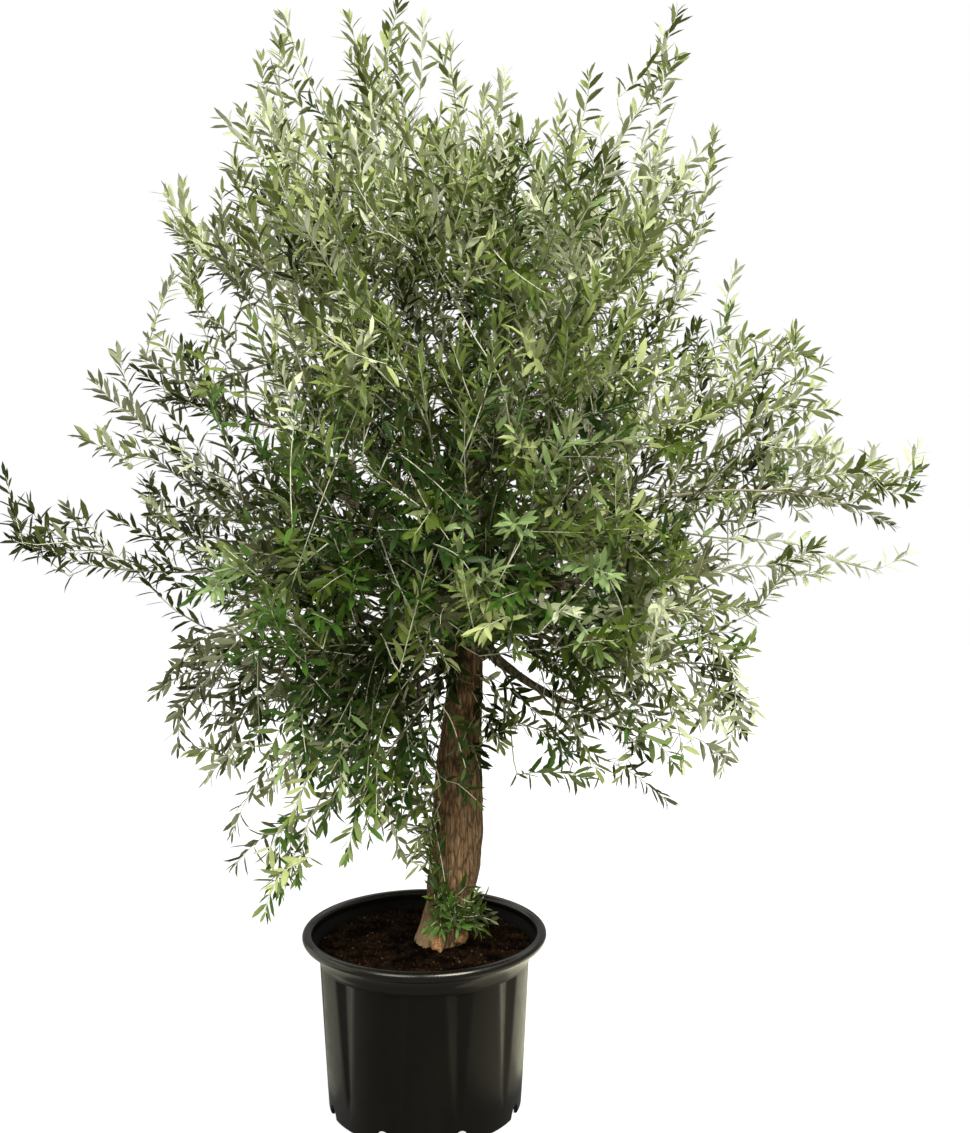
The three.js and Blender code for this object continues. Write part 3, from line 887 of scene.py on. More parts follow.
def stub_share(place, around):
    """How far a place on the stem stands out as part of a pruned stub, from 0 to 1."""
    if around[1] > -0.2:
        return 0.0
    ragged = 1 + 0.5 * ripple(*(v * 90 for v in place))
    shares = [1.9 * (1 - ragged * math.hypot(place[0] - x, place[2] - z) / radius)
              for x, z, radius in STUBS]
    return smooth_step(0, 1, max(shares))


def smoothed(values, width, edges):
    """Values, each the soft mean of its neighbours. edges: how the row goes on past its ends."""
    kernel = np.hanning(width) / np.hanning(width).sum()
    return np.convolve(np.pad(values, width // 2, mode=edges), kernel, "valid")


def make_trunk(trunk):
    foot, top = trunk.z[0] - 0.012, trunk.z[-1]
    heights = [foot]
    while heights[-1] < top:
        heights.append(heights[-1] + 0.0046 + 0.009 * smooth_step(0.95, 1.2, heights[-1]))
    turns = full_circle(TRUNK_COLUMNS)
    xs, ys, *outline = (smoothed(np.interp(heights, trunk.z, values), SMOOTH_ALONG, "edge")
                        for values in (trunk.x, trunk.y, *trunk.outline.T))
    points, furrows, worn, cuts = [], [], [], []
    for x, y, height, row in zip(xs, ys, heights, np.stack(outline, axis=1)):
        radii = np.interp(turns, trunk.sides, smoothed(row, SMOOTH_AROUND, "wrap"), period=2 * math.pi)
        coarse = 1 - smooth_step(0.75, 1.35, height) * 0.85
        for turn, radius in zip(turns, radii):
            around = (math.cos(turn), math.sin(turn))
            place = (x + radius * around[0], y + radius * around[1], height)
            rubbed = math.exp(-((height - foot) / 0.075) ** 2) * smooth_step(-0.1, 0.7, -around[0])
            rise, furrow = bark_relief(place, around, coarse * (1 - 0.9 * rubbed))
            rise *= min(1.0, radius / 0.02)
            stub = stub_share(place, around)
            splinter = 0.0025 * ripple(*(v * 220 for v in place))
            reach = radius + rise * (1 - stub) + stub * (0.011 + splinter)
            points.append((x + reach * around[0], y + reach * around[1], height))
            furrows.append(furrow * (1 - stub))
            worn.append(rubbed)
            cuts.append(smooth_step(0.55, 0.95, stub))
    mesh = mesh_from("trunk", points, ring_faces(len(heights), TRUNK_COLUMNS))
    # Furrow depth, which the bark paints darker as shade.
    mark(mesh, "furrow", furrows)
    mark(mesh, "worn", worn)
    mark(mesh, "cut", cuts)
    stops = [(0.30, linear(88, 68, 46)), (0.5, linear(134, 108, 76)), (0.70, linear(176, 150, 114))]
    mesh.materials.append(bark_paint("old_bark", stops, (1, 1, 0.08)))
    finish_piece(link("olive_trunk", mesh), ["trunk"])


# ---- Wood ----

PIPE_POWER = 2.3  # a limb's radius to this power is the sum of its branches'
TIP_RADIUS = 0.0006
THINNEST = 0.0009  # no twig is drawn thinner than this
THICKENING = 9.8  # what a metre of shoot adds to its radius in millimetres to that power
TURN_COST = 0.8
ARRIVE_COST = 0.5
PATH_COST = 0.33
WOOD_STEP = 0.032


class Wood:
    """All the wood as points, each with the point it grows from and the least it may measure."""

    def __init__(self):
        self.place, self.parent, self.heading, self.path, self.least = [], [], [], [], []

    def add(self, place, parent, least=0.0):
        place = np.asarray(place, float)
        if parent < 0:
            self.heading.append(UP)
            self.path.append(0.0)
        else:
            step = place - self.place[parent]
            self.heading.append(unit(step))
            self.path.append(self.path[parent] + length_of(step))
        self.place.append(place)
        self.parent.append(parent)
        self.least.append(least)
        return len(self.place) - 1

    def add_line(self, places, parent, least=()):
        made = []
        for k, place in enumerate(places):
            parent = self.add(place, parent, least[k] if len(least) else 0.0)
            made.append(parent)
        return made

    def nearest(self, nodes, place):
        return min(nodes, key=lambda n: length_of(self.place[n] - place))


def curve_between(start, leaving, end, arriving):
    """A smooth line from start to end, without its first point, that leaves and arrives along
    the two headings."""
    apart = length_of(end - start)
    steps = max(1, math.ceil(apart / WOOD_STEP))
    straight = unit(end - start)
    out = unit(leaving * 0.4 + straight) * apart
    back = unit(arriving * 0.4 + straight) * apart
    t = np.linspace(0, 1, steps + 1)[1:, None]
    return ((2 * t ** 3 - 3 * t ** 2 + 1) * start + (t ** 3 - 2 * t ** 2 + t) * out
            + (-2 * t ** 3 + 3 * t ** 2) * end + (t ** 3 - t ** 2) * back)


def grow_to(wood, hosts, targets, rng):
    """Joins every target to the wood, nearest first. A target is a line of points, and its first
    half then carries others. Branches that turn sharply or lie far along cost more."""
    starts = np.array([line[0] for line in targets])
    headings = unit(np.array([line[min(1, len(line) - 1)] - line[0] for line in targets]) + 1e-9)
    cost = np.full(len(targets), np.inf)
    host = np.zeros(len(targets), int)
    waiting = np.ones(len(targets), bool)

    def offer(nodes):
        places = np.array([wood.place[n] for n in nodes])
        leaving = np.array([wood.heading[n] for n in nodes])
        paths = np.array([wood.path[n] for n in nodes])
        apart = starts[:, None] - places[None]
        distance = np.linalg.norm(apart, axis=2) + 1e-6
        direction = apart / distance[..., None]
        turn = 1 - np.einsum("ijk,jk->ij", direction, leaving)
        arrive = 1 - np.einsum("ijk,ik->ij", direction, headings)
        price = distance * (1 + TURN_COST * turn + ARRIVE_COST * arrive) + PATH_COST * paths
        best = price.argmin(axis=1)
        found = price[np.arange(len(targets)), best]
        better = found < cost
        cost[better] = found[better]
        host[better] = np.array(nodes)[best[better]]

    offer(hosts)
    lines = [None] * len(targets)
    for _ in range(len(targets)):
        k = int(np.argmin(np.where(waiting, cost, np.inf)))
        node = int(host[k])
        line = curve_between(wood.place[node], wood.heading[node], starts[k], headings[k])
        sway = rng.normal(size=3) * 0.02 * length_of(starts[k] - wood.place[node])
        swell = np.sin(np.linspace(0, math.pi, len(line) + 1))[1:, None]
        made = wood.add_line(line + swell * sway, node)
        shoot = wood.add_line(targets[k][1:], made[-1])
        waiting[k] = False
        lines[k] = [made[-1], *shoot]
        offer(made + shoot[: len(shoot) // 2])
    return lines


def measure_wood(wood, fixed):
    """Radius of every point: from the tips down by the pipe rule, then up again so that no
    branch is thicker than what carries it. fixed holds points whose radius is already known."""
    count = len(wood.place)
    carried = np.zeros(count)
    radius = np.zeros(count)
    for node in range(count - 1, -1, -1):
        length = 0.0
        if wood.parent[node] >= 0:
            length = length_of(wood.place[node] - wood.place[wood.parent[node]])
        own = max(carried[node], (TIP_RADIUS * 1000) ** PIPE_POWER)
        radius[node] = max(own ** (1 / PIPE_POWER) / 1000, wood.least[node])
        if wood.parent[node] >= 0:
            carried[wood.parent[node]] += own + THICKENING * length
    for node in range(count):
        if node in fixed:
            radius[node] = fixed[node]
        elif wood.parent[node] >= 0:
            radius[node] = min(radius[node], 0.9 * radius[wood.parent[node]] + 0.0001)
    return np.maximum(radius, THINNEST)


def chains_of(wood, radius, fixed):
    """The wood as unbroken lines: each point carries on in its thickest branch, and every other
    branch starts a line of its own at the middle of what carries it."""
    children = [[] for _ in wood.place]
    for node, parent in enumerate(wood.parent):
        if parent >= 0 and node not in fixed:
            children[parent].append(node)
    chains = []
    for parent, branches in enumerate(children):
        branches.sort(key=lambda n: -radius[n])
        begins = branches if parent in fixed else branches[1:]
        for node in begins:
            chain = [parent]
            while True:
                chain.append(node)
                if not children[node]:
                    break
                node = max(children[node], key=lambda n: radius[n])
            chains.append(chain)
    return chains


def resample(places, radii, spacing):
    """A smooth line through places, with points about spacing apart, and its radii."""
    places = np.asarray(places)
    padded = np.concatenate([[2 * places[0] - places[1]], places, [2 * places[-1] - places[-2]]])
    out, sizes = [], []
    for k in range(len(places) - 1):
        a, b, c, d = padded[k:k + 4]
        steps = max(1, round(length_of(c - b) / spacing))
        for t in np.arange(steps) / steps:
            out.append(0.5 * (2 * b + (c - a) * t + (2 * a - 5 * b + 4 * c - d) * t ** 2
                              + (3 * b - a - 3 * c + d) * t ** 3))
            sizes.append(radii[k] + (radii[k + 1] - radii[k]) * t)
    return np.array(out + [places[-1]]), np.array(sizes + [radii[-1]])


def barked_tube(places, radii, sides, points, faces, furrows):
    """Adds a closed tube with bark relief along a line to the lists of points and faces."""
    side = unit(np.cross(unit(places[1] - places[0]), [0.31, 0.52, 0.79]))
    first = len(points)
    for k, (place, radius) in enumerate(zip(places, radii)):
        ahead = unit(places[min(k + 1, len(places) - 1)] - places[max(k - 1, 0)])
        side = unit(side - ahead * float(side @ ahead))
        other = np.cross(ahead, side)
        for turn in full_circle(sides):
            arm = side * math.cos(turn) + other * math.sin(turn)
            spot = place + arm * radius
            rough = ripple(*spot * 120) + 0.6 * ripple(*spot * 300)
            points.append(spot + arm * radius * 0.10 * rough)
            # How deep a place lies in the relief, which the bark paints darker as shade.
            furrows.append(min(1.0, max(0.0, -rough) * 1.2))
    faces += [[first + corner for corner in face] for face in ring_faces(len(places), sides)]


THICK = 0.0034  # wood thicker than this has bark relief
OLD = 0.0017  # and of what is thinner, a twig thicker than this is an older one
LIMB_SIDES = 12
LIMB_STEP = 0.011


def make_limbs(wood, radius, chains, names):
    """The thick part of every line, with bark relief, and returns what is left as thin lines."""
    points, faces, furrows = [], [], []
    thin = []
    for chain in chains:
        places = [wood.place[n] for n in chain]
        radii = [radius[n] for n in chain]
        radii[0] = radii[1] * 1.05
        thick = next((k for k, r in enumerate(radii) if k > 0 and r < THICK), len(chain))
        if thick >= 3:
            line, sizes = resample(places[:thick + 1], radii[:thick + 1], LIMB_STEP)
            collar = 1 + 0.45 * np.exp(-np.linalg.norm(line - line[0], axis=1) / 0.03)
            sizes = sizes * np.where(sizes > 0.006, collar, 1.0)
            barked_tube(line, sizes, LIMB_SIDES, points, faces, furrows)
            places, radii = places[thick:], radii[thick:]
        if len(places) > 1:
            thin.append((places, radii))
    mesh = mesh_from("limbs", points, faces)
    mark(mesh, "furrow", furrows)
    stops = [(0.3, linear(86, 76, 60)), (0.5, linear(134, 124, 102)), (0.7, linear(172, 164, 142))]
    mesh.materials.append(bark_paint("bough_bark", stops, (1, 1, 1)))
    finish_piece(link("olive_boughs", mesh), names)
    return thin


def make_twigs(thin, mass_names):
    """Twigs by thickness: brown-grey older ones and pale green-grey young ones."""
    tree = tube_tree()
    groups = {
        "older_twigs": (5, plain_paint("twig_bark", linear(150, 144, 118), 0.8, 0.2)),
        "young_twigs": (3, plain_paint("young_twig", linear(198, 198, 166), 0.65, 0.3)),
    }
    for name, (sides, paint) in groups.items():
        points, edges, sizes = [], [], []
        for places, radii in thin:
            old = next((k for k, r in enumerate(radii) if k > 0 and r < OLD), len(radii))
            span = slice(old - 1, None)
            if name == "older_twigs":
                span = slice(0, old + 1 if old > 1 else 0)
            first = len(points)
            points.extend(places[span])
            sizes.extend(radii[span])
            edges.extend((k, k + 1) for k in range(first, len(points) - 1))
        mesh = mesh_from(name, points, edges=edges)
        mark(mesh, "thickness", sizes)
        finish_piece(run_tree(name, mesh, tree, {"Sides": sides, "Bark": paint}), mass_names)


# ---- Shoots ----

HEART_LOW, HEART_HIGH, HEART_DROP = 0.98, 1.45, 0.32
LIFT_HEIGHTS = [0.50, 0.85, 1.10, 1.35, 1.70, 2.00]
LIFTS = [-0.90, -0.55, -0.10, 0.25, 0.60, 1.00]
SHOOTS_PER_MASS = 66
VOLUME_PER_MASS = 0.03
VOLUME_POWER = 0.43
LEADER_SHOOTS = 130
SUCKERS = 22
SPRAY_SUCKERS = 12
SUCKER_STEP = 0.018
STEM_SPRAYS = 40
STEM_STEP = 0.03
SPRAYS_TOP = 1.1

# How full a mass is, by the start of its name. The first that fits counts.
FULLNESS = {
    "top_middle": 0.15, "top_right": 0.30, "top_left": 0.30, "top_back": 0.36, "top": 0.52,
    "upper_front": 1.18, "upper_left": 0.50, "upper_right": 0.52, "middle_front": 1.32,
    "middle_left": 0.42, "middle_right": 0.80, "low_front": 1.30, "low_left_spray": 0.36,
    "low_left": 0.44, "low_right": 0.70, "low_back_right": 0.85, "skirt_left": 0.66,
    "skirt_right": 0.58, "skirt_back_right": 0.42, "skirt_front_left": 1.30, "left_arm": 0.42,
    "right_arm_rising": 0.50, "right_arm_middle": 0.40, "right_arm_low": 0.13, "hanging_spray": 0.15,
}

# Places where the crown is fuller than its masses say: X, Y, Z in centimetres, and how many shoots.
TUFTS = [
    (-28, 2, 218, 3), (-18, 0, 198, 6), (-10, -8, 210, 2), (0, -5, 217, 2), (14, -5, 205, 3),
    (30, 0, 198, 2), (-40, 0, 197, 2), (-46, 0, 178, 2), (-46, 0, 169, 3), (-50, 0, 150, 2),
    (-62, 0, 142, 4), (-52, 0, 130, 1), (-40, 0, 130, 2), (-50, 0, 120, 4), (-50, 0, 110, 3),
    (-80, 0, 119, 3), (74, -2, 133, 7), (62, 0, 131, 5), (88, 0, 130, 2), (70, 0, 138, 2),
    (70, 0, 110, 2), (62, 0, 80, 5), (50, 0, 82, 2), (60, 0, 100, 6), (41, 0, 75, 2), (52, 0, 64, 2),
    (22, -6, 100, 4), (30, -6, 93, 4), (20, -5, 84, 2), (80, 0, 153, 2), (52, 0, 188, 5),
    (50, 0, 208, 2), (-30, -19, 68, 1), (-6, -12, 64, 6), (-38, 0, 82, 4), (-30, 0, 62, 2),
]

# Places where sky shows through: X, Z and the reach in centimetres, and how many shoots in ten are
# left out.
GAPS = [
    (-30, 158, 9, 10), (-30, 141, 8, 6), (0, 200, 7, 6), (-30, 207, 6, 7), (-42, 187, 8, 7),
    (-20, 214, 5, 5), (42, 201, 6, 7), (52, 200, 6, 9), (-29, 187, 5, 6), (27, 188, 8, 7),
    (20, 198, 5, 8), (60, 179, 7, 8), (51, 168, 6, 4), (61, 160, 5, 6), (-62, 150, 6, 7),
    (-50, 139, 5, 6), (82, 142, 8, 7), (84, 150, 6, 6), (-60, 130, 5, 9), (-62, 119, 6, 9),
    (-62, 108, 5, 5), (-42, 105, 8, 7), (-40, 94, 5, 6), (86, 112, 8, 8), (56, 120, 6, 7),
    (58, 110, 8, 6), (-30, 84, 5, 5), (-30, 72, 7, 4), (-20, 65, 6, 6), (31, 75, 7, 8), (50, 86, 6, 8),
    (95, 131, 5, 6), (50, 73, 6, 6), (59, 91, 6, 7), (6, 80, 7, 9), (20, 62, 6, 8), (8.5, 100, 6, 6),
]

# How strongly the shoots of a mass turn up, where that isn't what its height says.
OWN_LIFT = {"left_arm": 0.35, "right_arm": 0.45}

# Slender masses, whose shoots are short and lie astride their middles.
SLENDER = ("left_arm", "right_arm_middle", "right_arm_low", "low_left_spray", "hanging_spray")

# Side leaders that show between the leaves, from the crown's middle outwards, in millimetres.
SIDE_LEADERS = [
    [(181, -100, 1441), (245, -160, 1577), (296, -160, 1672), (338, -140, 1751), (388, -100, 1847),
     (420, -60, 1919), (462, -20, 2003), (475, 20, 2150)],
    [(-129, -160, 1401), (-191, -160, 1516), (-217, -120, 1650), (-235, -80, 1804), (-290, -40, 1960),
     (-310, 0, 2100)],
    [(-210, -150, 1530), (-336, -120, 1497), (-444, -60, 1452), (-520, -20, 1447)],
    [(423, -100, 1206), (582, -60, 1178), (730, -20, 1167), (795, 0, 1139), (900, 0, 1109)],
    [(420, -120, 1255), (608, -100, 1273), (807, -40, 1251), (930, -20, 1200)],
    [(518, -100, 1254), (590, -60, 1311), (627, -40, 1373), (606, 0, 1553), (600, 0, 1643),
     (615, 0, 1700)],
    [(-404, -40, 1111), (-521, -20, 1107), (-662, -10, 1120), (-790, 0, 1165)],
]

# How many points at the end of a side leader and of a whip carry leaves.
LEADER_LEAFY = 11
WHIP_LEAFY = 6

# Long leafy whips that hang in front of crown and stem, from their upper ends down, in millimetres.
WHIPS = [
    [(-22, -460, 1131), (15, -470, 1071), (65, -460, 988)],
    [(24, -180, 902), (62, -220, 846), (88, -220, 758)],
    [(165, -500, 1175), (135, -520, 1127), (96, -520, 1062)],
    [(34, -60, 703), (71, -120, 702), (107, -130, 673)],
    [(-106, -480, 1371), (-147, -520, 1258), (-197, -500, 1125)],
    [(18, -500, 1282), (71, -540, 1203), (132, -530, 1112)],
    [(190, -500, 1224), (156, -540, 1162), (113, -540, 1081)],
    [(99, -400, 1556), (149, -460, 1470), (169, -470, 1371)],
    [(323, -380, 1164), (358, -420, 1082), (369, -420, 982)],
    [(249, -450, 1404), (289, -500, 1322), (312, -500, 1241)],
]


def first_match(table, name, otherwise):
    """The value of the first entry whose name starts this one."""
    for start, value in table.items():
        if name.startswith(start):
            return value
    return otherwise


def shoot_tips(mass, count, heart, rng):
    """Places for shoot tips all through a mass, evenly apart, fewer on the side to the trunk."""
    outward = unit(mass.centre - heart)
    weight = mass.reach ** 3 * (1 + 0.7 * (mass.rays @ outward))
    pool = rng.choice(len(mass.rays), size=count * 7, p=weight / weight.sum())
    shares = rng.random(len(pool)) ** 0.36
    jitter = rng.normal(size=(len(pool), 3)) * 0.01
    spots = mass.centre + mass.rays[pool] * (mass.reach[pool] * shares)[:, None] + jitter
    tips = []
    for k in range(count):
        group = spots[k * 7:(k + 1) * 7]
        if tips:
            nearest = np.linalg.norm(group[:, None] - np.array(tips)[None], axis=2).min(axis=1)
            tips.append(group[int(nearest.argmax())])
        else:
            tips.append(group[0])
    far = mass.points[int(np.argmax((mass.points - heart) @ outward))]
    tips.append(mass.centre + (far - mass.centre) * 0.95)
    return tips


def shoot_line(tip, length, away, lift, rng):
    """A shoot that starts flatter and turns up, or hangs over, towards its tip."""
    wander = rng.normal(size=3) * 0.42
    early = unit(away + UP * lift * 0.35 + wander + rng.normal(size=3) * 0.15)
    late = unit(away * 0.8 + UP * lift * 1.25 + wander + rng.normal(size=3) * 0.12)
    steps = max(3, round(length / SHOOT_STEP))
    share = np.linspace(0, 1, steps)[:, None]
    moves = unit(early * (1 - share) + late * share) * length / steps
    line = np.concatenate([np.zeros((1, 3)), np.cumsum(moves, axis=0)])
    return tip + line - line[-1]


def tufts_of(mass, masses):
    """The places of the extra shoots that are nearest to this mass of all."""
    places = []
    for *place, count in TUFTS:
        place = np.array(place) / 100
        if min(masses, key=lambda m: length_of(m.centre - place)) is mass:
            places += [place] * count
    return places


def in_gap(place, draw):
    return any(math.hypot(place[0] - x / 100, place[2] - z / 100) < reach / 100 and draw < tenths / 10
               for x, z, reach, tenths in GAPS)


def deal_shoots(masses, trunk, rng):
    """Every shoot of the crown as a line of points and the mass it belongs to."""
    lines, owners = [], []
    box_low, box_high = np.array(CAD_BOX[0]), np.array(CAD_BOX[1])

    def root_of(place):
        return trunk.centre(float(np.clip(place[2] - HEART_DROP, HEART_LOW, HEART_HIGH)))

    for mass in masses:
        if mass.part == "foot_shoots":
            continue
        full = SHOOTS_PER_MASS * (mass.volume / VOLUME_PER_MASS) ** VOLUME_POWER
        count = max(5, round(full * first_match(FULLNESS, mass.part, 1.0)))
        tips = shoot_tips(mass, count, root_of(mass.centre), rng)
        tips += [place + rng.normal(size=3) * 0.035 for place in tufts_of(mass, masses)]
        for tip in tips:
            out = tip - root_of(tip)
            lift = first_match(OWN_LIFT, mass.part, float(np.interp(tip[2], LIFT_HEIGHTS, LIFTS)))
            length = min(float(rng.uniform(*SHOOT_LENGTHS)), 0.75 * length_of(out))
            line = shoot_line(tip, length, unit(out), lift, rng)
            if mass.part in SLENDER:
                line = tip + 0.7 * (line - line[len(line) // 2])
            over = np.maximum(line.max(axis=0) - box_high, 0)
            under = np.maximum(box_low - line.min(axis=0), 0)
            line = line - over + under
            if not in_gap(line[len(line) // 2], rng.random()):
                lines.append(line)
                owners.append(mass)
    return lines, owners


def leader_shoots(trunk, rng):
    """Side shoots that fill the space round the leader inside the crown."""
    lines = []
    for height in np.linspace(1.00, 1.95, LEADER_SHOOTS):
        out = compass(rng.uniform(0, 2 * math.pi))
        tip = trunk.centre(height) + out * rng.uniform(0.04, 0.15)
        lines.append(shoot_line(tip, rng.uniform(0.08, 0.16), out, 0.7, rng))
    return lines


def line_through(places, spacing):
    return resample(places, [0] * len(places), spacing)[0]


def guide_lines(masses):
    """Lines that the limbs grow through: the side leaders, the heart of each mass and two more
    points along a long one."""
    lines = [line_through(np.array(line) / 1000, WOOD_STEP) for line in SIDE_LEADERS]
    for mass in masses:
        if mass.part == "foot_shoots":
            continue
        spread = np.linalg.svd(mass.points - mass.centre)
        axis, sizes = spread[2][0], spread[1]
        lines.append([mass.centre])
        if sizes[0] > 1.8 * sizes[1]:
            reach = mass.distance(axis)
            for share in (-0.55, 0.5):
                lines.append([mass.centre + axis * reach * share])
    return [np.array(line) for line in lines]


def foot_shoots(trunk, rng):
    """Leafy suckers at the front of the trunk's foot: a long upright one, a tuft of short ones
    that spring from its foot, and a low spray to the right."""
    foot = trunk.z[0]
    knee = np.array([0.052, -0.068, foot + 0.088])
    lines = [
        line_through([knee, knee + [-0.012, -0.006, 0.09], knee + [-0.030, -0.004, 0.19]], SUCKER_STEP),
        line_through([knee, knee + [-0.028, 0.0, 0.05], knee + [-0.042, 0.006, 0.11]], SUCKER_STEP),
    ]
    for _ in range(SUCKERS):
        out = compass(math.radians(rng.uniform(-140, -10)))
        line = shoot_line(np.zeros(3), rng.uniform(0.025, 0.055), out, rng.uniform(-0.3, 1.0), rng)
        lines.append(line - line[0] + knee + rng.normal(size=3) * [0.016, 0.006, 0.018])
    spray = np.array([0.072, -0.058, foot + 0.078])
    for _ in range(SPRAY_SUCKERS):
        out = compass(math.radians(rng.uniform(-55, 25)))
        line = shoot_line(np.zeros(3), rng.uniform(0.035, 0.080), out, rng.uniform(-0.4, 0.7), rng)
        lines.append(line - line[0] + spray + rng.normal(size=3) * [0.012, 0.008, 0.012])
    return lines


def lead_back(wood, line, leafy, count):
    """A line carried back along its own wood by up to count points, as far as that is not leafy.
    leafy: the points that bear leaves or that may not, and to which the line's own are added."""
    line = list(line)
    while count and wood.parent[line[0]] not in leafy:
        line.insert(0, wood.parent[line[0]])
        count -= 1
    leafy.update(line)
    return line


def trunk_sprays(trunk, rng):
    """Small drooping sprays along the stem under the crown, most of them at its left side."""
    lines = []
    for k in range(STEM_SPRAYS):
        right = k % 5 == 0
        height = rng.uniform(0.68, 0.96) if right else rng.uniform(0.50, 1.02)
        out = compass(math.radians(rng.uniform(-75, 10) if right else rng.uniform(-230, -120)))
        start = trunk.centre(height) + out * trunk.radius_at(height) * 0.9
        length = rng.uniform(0.07, 0.15) if height > 0.62 else rng.uniform(0.03, 0.06)
        line = shoot_line(np.zeros(3), length, out * 0.8, rng.uniform(-1.6, 0.2), rng)
        lines.append(line - line[0] + start)
    return lines


# ---- Leaves ----


def leaf_mesh():
    """One leaf of unit length along X and unit width along Y: a folded, slightly arched blade,
    closed by an under face a hair below. Its points are the root, then at each of two stations the
    left edge, the fold, the right edge and the under face, and last the tip."""
    points = [(0, 0, 0)]
    for t, half in ((0.30, 0.46), (0.70, 0.44), (1, 0)):
        lift = 0.55 * t - 0.85 * t * t
        edge = lift + LEAF_FOLD * half * 2
        points += [(t, half, edge), (t, 0, lift), (t, -half, edge), (t, 0, lift - LEAF_THICKNESS)]
    upper = [(0, 2, 1), (0, 3, 2), (1, 2, 6, 5), (2, 3, 7, 6), (5, 6, 9), (6, 7, 9)]
    under = [(0, 1, 4), (0, 4, 3), (1, 5, 8, 4), (4, 8, 7, 3), (5, 9, 8), (8, 9, 7)]
    mesh = mesh_from("leaf", points[:10], upper + under)
    mark(mesh, "under", [False] * len(upper) + [True] * len(under), "BOOLEAN", "FACE")
    outline = {0, 1, 3, 5, 7, 9}
    mark(mesh, "sharp_edge", [set(e.vertices) <= outline for e in mesh.edges], "BOOLEAN", "EDGE")
    return mesh


def leaves_on(line, scale, rng):
    """Places, headings, upper normals and sizes of the leaves along one shoot, in opposite
    pairs, each pair turned a quarter from the last."""
    steps = np.linalg.norm(np.diff(line, axis=0), axis=1)
    run = np.concatenate([[0], np.cumsum(steps)])
    gap = PAIR_GAP * rng.uniform(0.88, 1.15) * (0.6 + 0.4 * scale)
    crowding = np.arange(run[-1] * 0.08, run[-1], gap) / run[-1]
    pairs = len(crowding)
    marks = run[-1] * (1 - (1 - crowding) ** 1.25) + rng.normal(size=pairs) * gap * 0.12
    share = np.clip(marks / run[-1], 0, 1)
    spots = np.stack([np.interp(marks, run, line[:, k]) for k in range(3)], axis=1)
    cell = np.clip(np.searchsorted(run, marks) - 1, 0, len(steps) - 1)
    stem = unit(np.diff(line, axis=0)[cell])
    side = unit(np.cross(stem, [0.2, 0.35, 0.9]))
    other = np.cross(stem, side)
    turn = rng.uniform(0, math.pi) + np.arange(pairs) * math.pi / 2 + rng.normal(size=pairs) * 0.22
    leaves = []
    for flip in (0, math.pi):
        angle = turn + flip + rng.normal(size=pairs) * 0.15
        arm = side * np.cos(angle)[:, None] + other * np.sin(angle)[:, None]
        lean = np.radians(np.interp(share, [0, 0.8, 1], [58, 46, 24]) + rng.normal(size=pairs) * 9)
        heading = unit(stem * np.cos(lean)[:, None] + arm * np.sin(lean)[:, None]
                       + rng.normal(size=(pairs, 3)) * 0.10)
        above = stem * 0.75 + UP * 0.55 + rng.normal(size=(pairs, 3)) * 0.35
        normal = unit(above - heading * np.einsum("ij,ij->i", above, heading)[:, None])
        length = np.interp(share, [0, 0.25, 0.8, 1], [0.8, 1.0, 1.0, 0.66])
        length = length * rng.uniform(0.72, 1.18, pairs)
        width = length * rng.uniform(0.82, 1.12, pairs)
        curl = width * rng.uniform(0.1, 1.3, pairs)
        leaves.append((spots, heading, normal, np.stack([length, width, curl], axis=1) * scale))
    kept = rng.random(2 * pairs) > 0.06
    return [np.concatenate(group)[kept] for group in zip(*leaves)]


def quaternions(headings, normals):
    """Turns that carry X to each heading and Z to each normal."""
    turns = np.stack([headings, np.cross(normals, headings), normals], axis=2)
    return np.array([Matrix(turn.tolist()).to_quaternion() for turn in turns])


# Where the crown lies in shade: the middle's X and Z, the reach along X and Z, and how strongly.
SHADE_PATCHES = [
    (-0.02, 1.06, 0.17, 0.30, 0.42),
    (-0.70, 1.13, 0.26, 0.14, 0.10),
    (-0.18, 0.72, 0.24, 0.20, -0.30),
# Painted light: this low patch has a negative strength, so it makes the sprays there lighter.
]


def tone_of(line, mass, rng):
    """The tone of one spray, in painted light and shade: lighter high up, to the right and at the
    crown's edge, and darker in the shade patches, with fresh green in the low front."""
    middle = line[len(line) // 2]
    height = (middle[2] - 1.30) / 0.75
    right = min(0.6, (middle[0] - 0.08) / 0.75)
    edge = length_of((middle - CROWN_HEART) / CROWN_REACH)
    # Painted light and shade: level is how lit the spray is drawn, with a random spread between sprays.
    level = 0.535 + 0.20 * height + 0.17 * right + 0.34 * (edge - 0.8) + rng.normal() * 0.25
    for x, z, wide, tall, strength in SHADE_PATCHES:
        level -= strength * math.exp(-((middle[0] - x) / wide) ** 2 - ((middle[2] - z) / tall) ** 2)
    front = middle[1] < -0.10 and abs(middle[0] + 0.02) < 0.34 and 0.50 < middle[2] < 1.42
    side = 0.02 if middle[0] < -0.2 else 0.06
    green = 0.50 if front else side
    if mass is not None and mass.part == "foot_shoots":
        green = 0.5
        level = rng.uniform(0.02, 0.42)
    # Painted light and shade among the greens too: lit sprays take the light young tone, shaded ones
    # mostly the dark moss tone.
    if rng.random() < green:
        if level > 0.68:
            return "young"
        return "moss" if rng.random() < 0.75 - level else "fresh"
    step = int(np.clip(level * len(SHADE_LADDER), 0, len(SHADE_LADDER) - 1))
    low_side = max(0.0, 1.35 - middle[2]) * min(1.0, abs(middle[0] - 0.05) / 0.4)
    dusty = 0.03 + 0.45 * smooth_step(-0.12, -0.35, middle[0]) + 1.4 * low_side
    greyer = {"deep": "dusk", "olive": "dusty", "grey_green": "dusty"}
    if SHADE_LADDER[step] in greyer and rng.random() < dusty:
        return greyer[SHADE_LADDER[step]]
    return SHADE_LADDER[step]


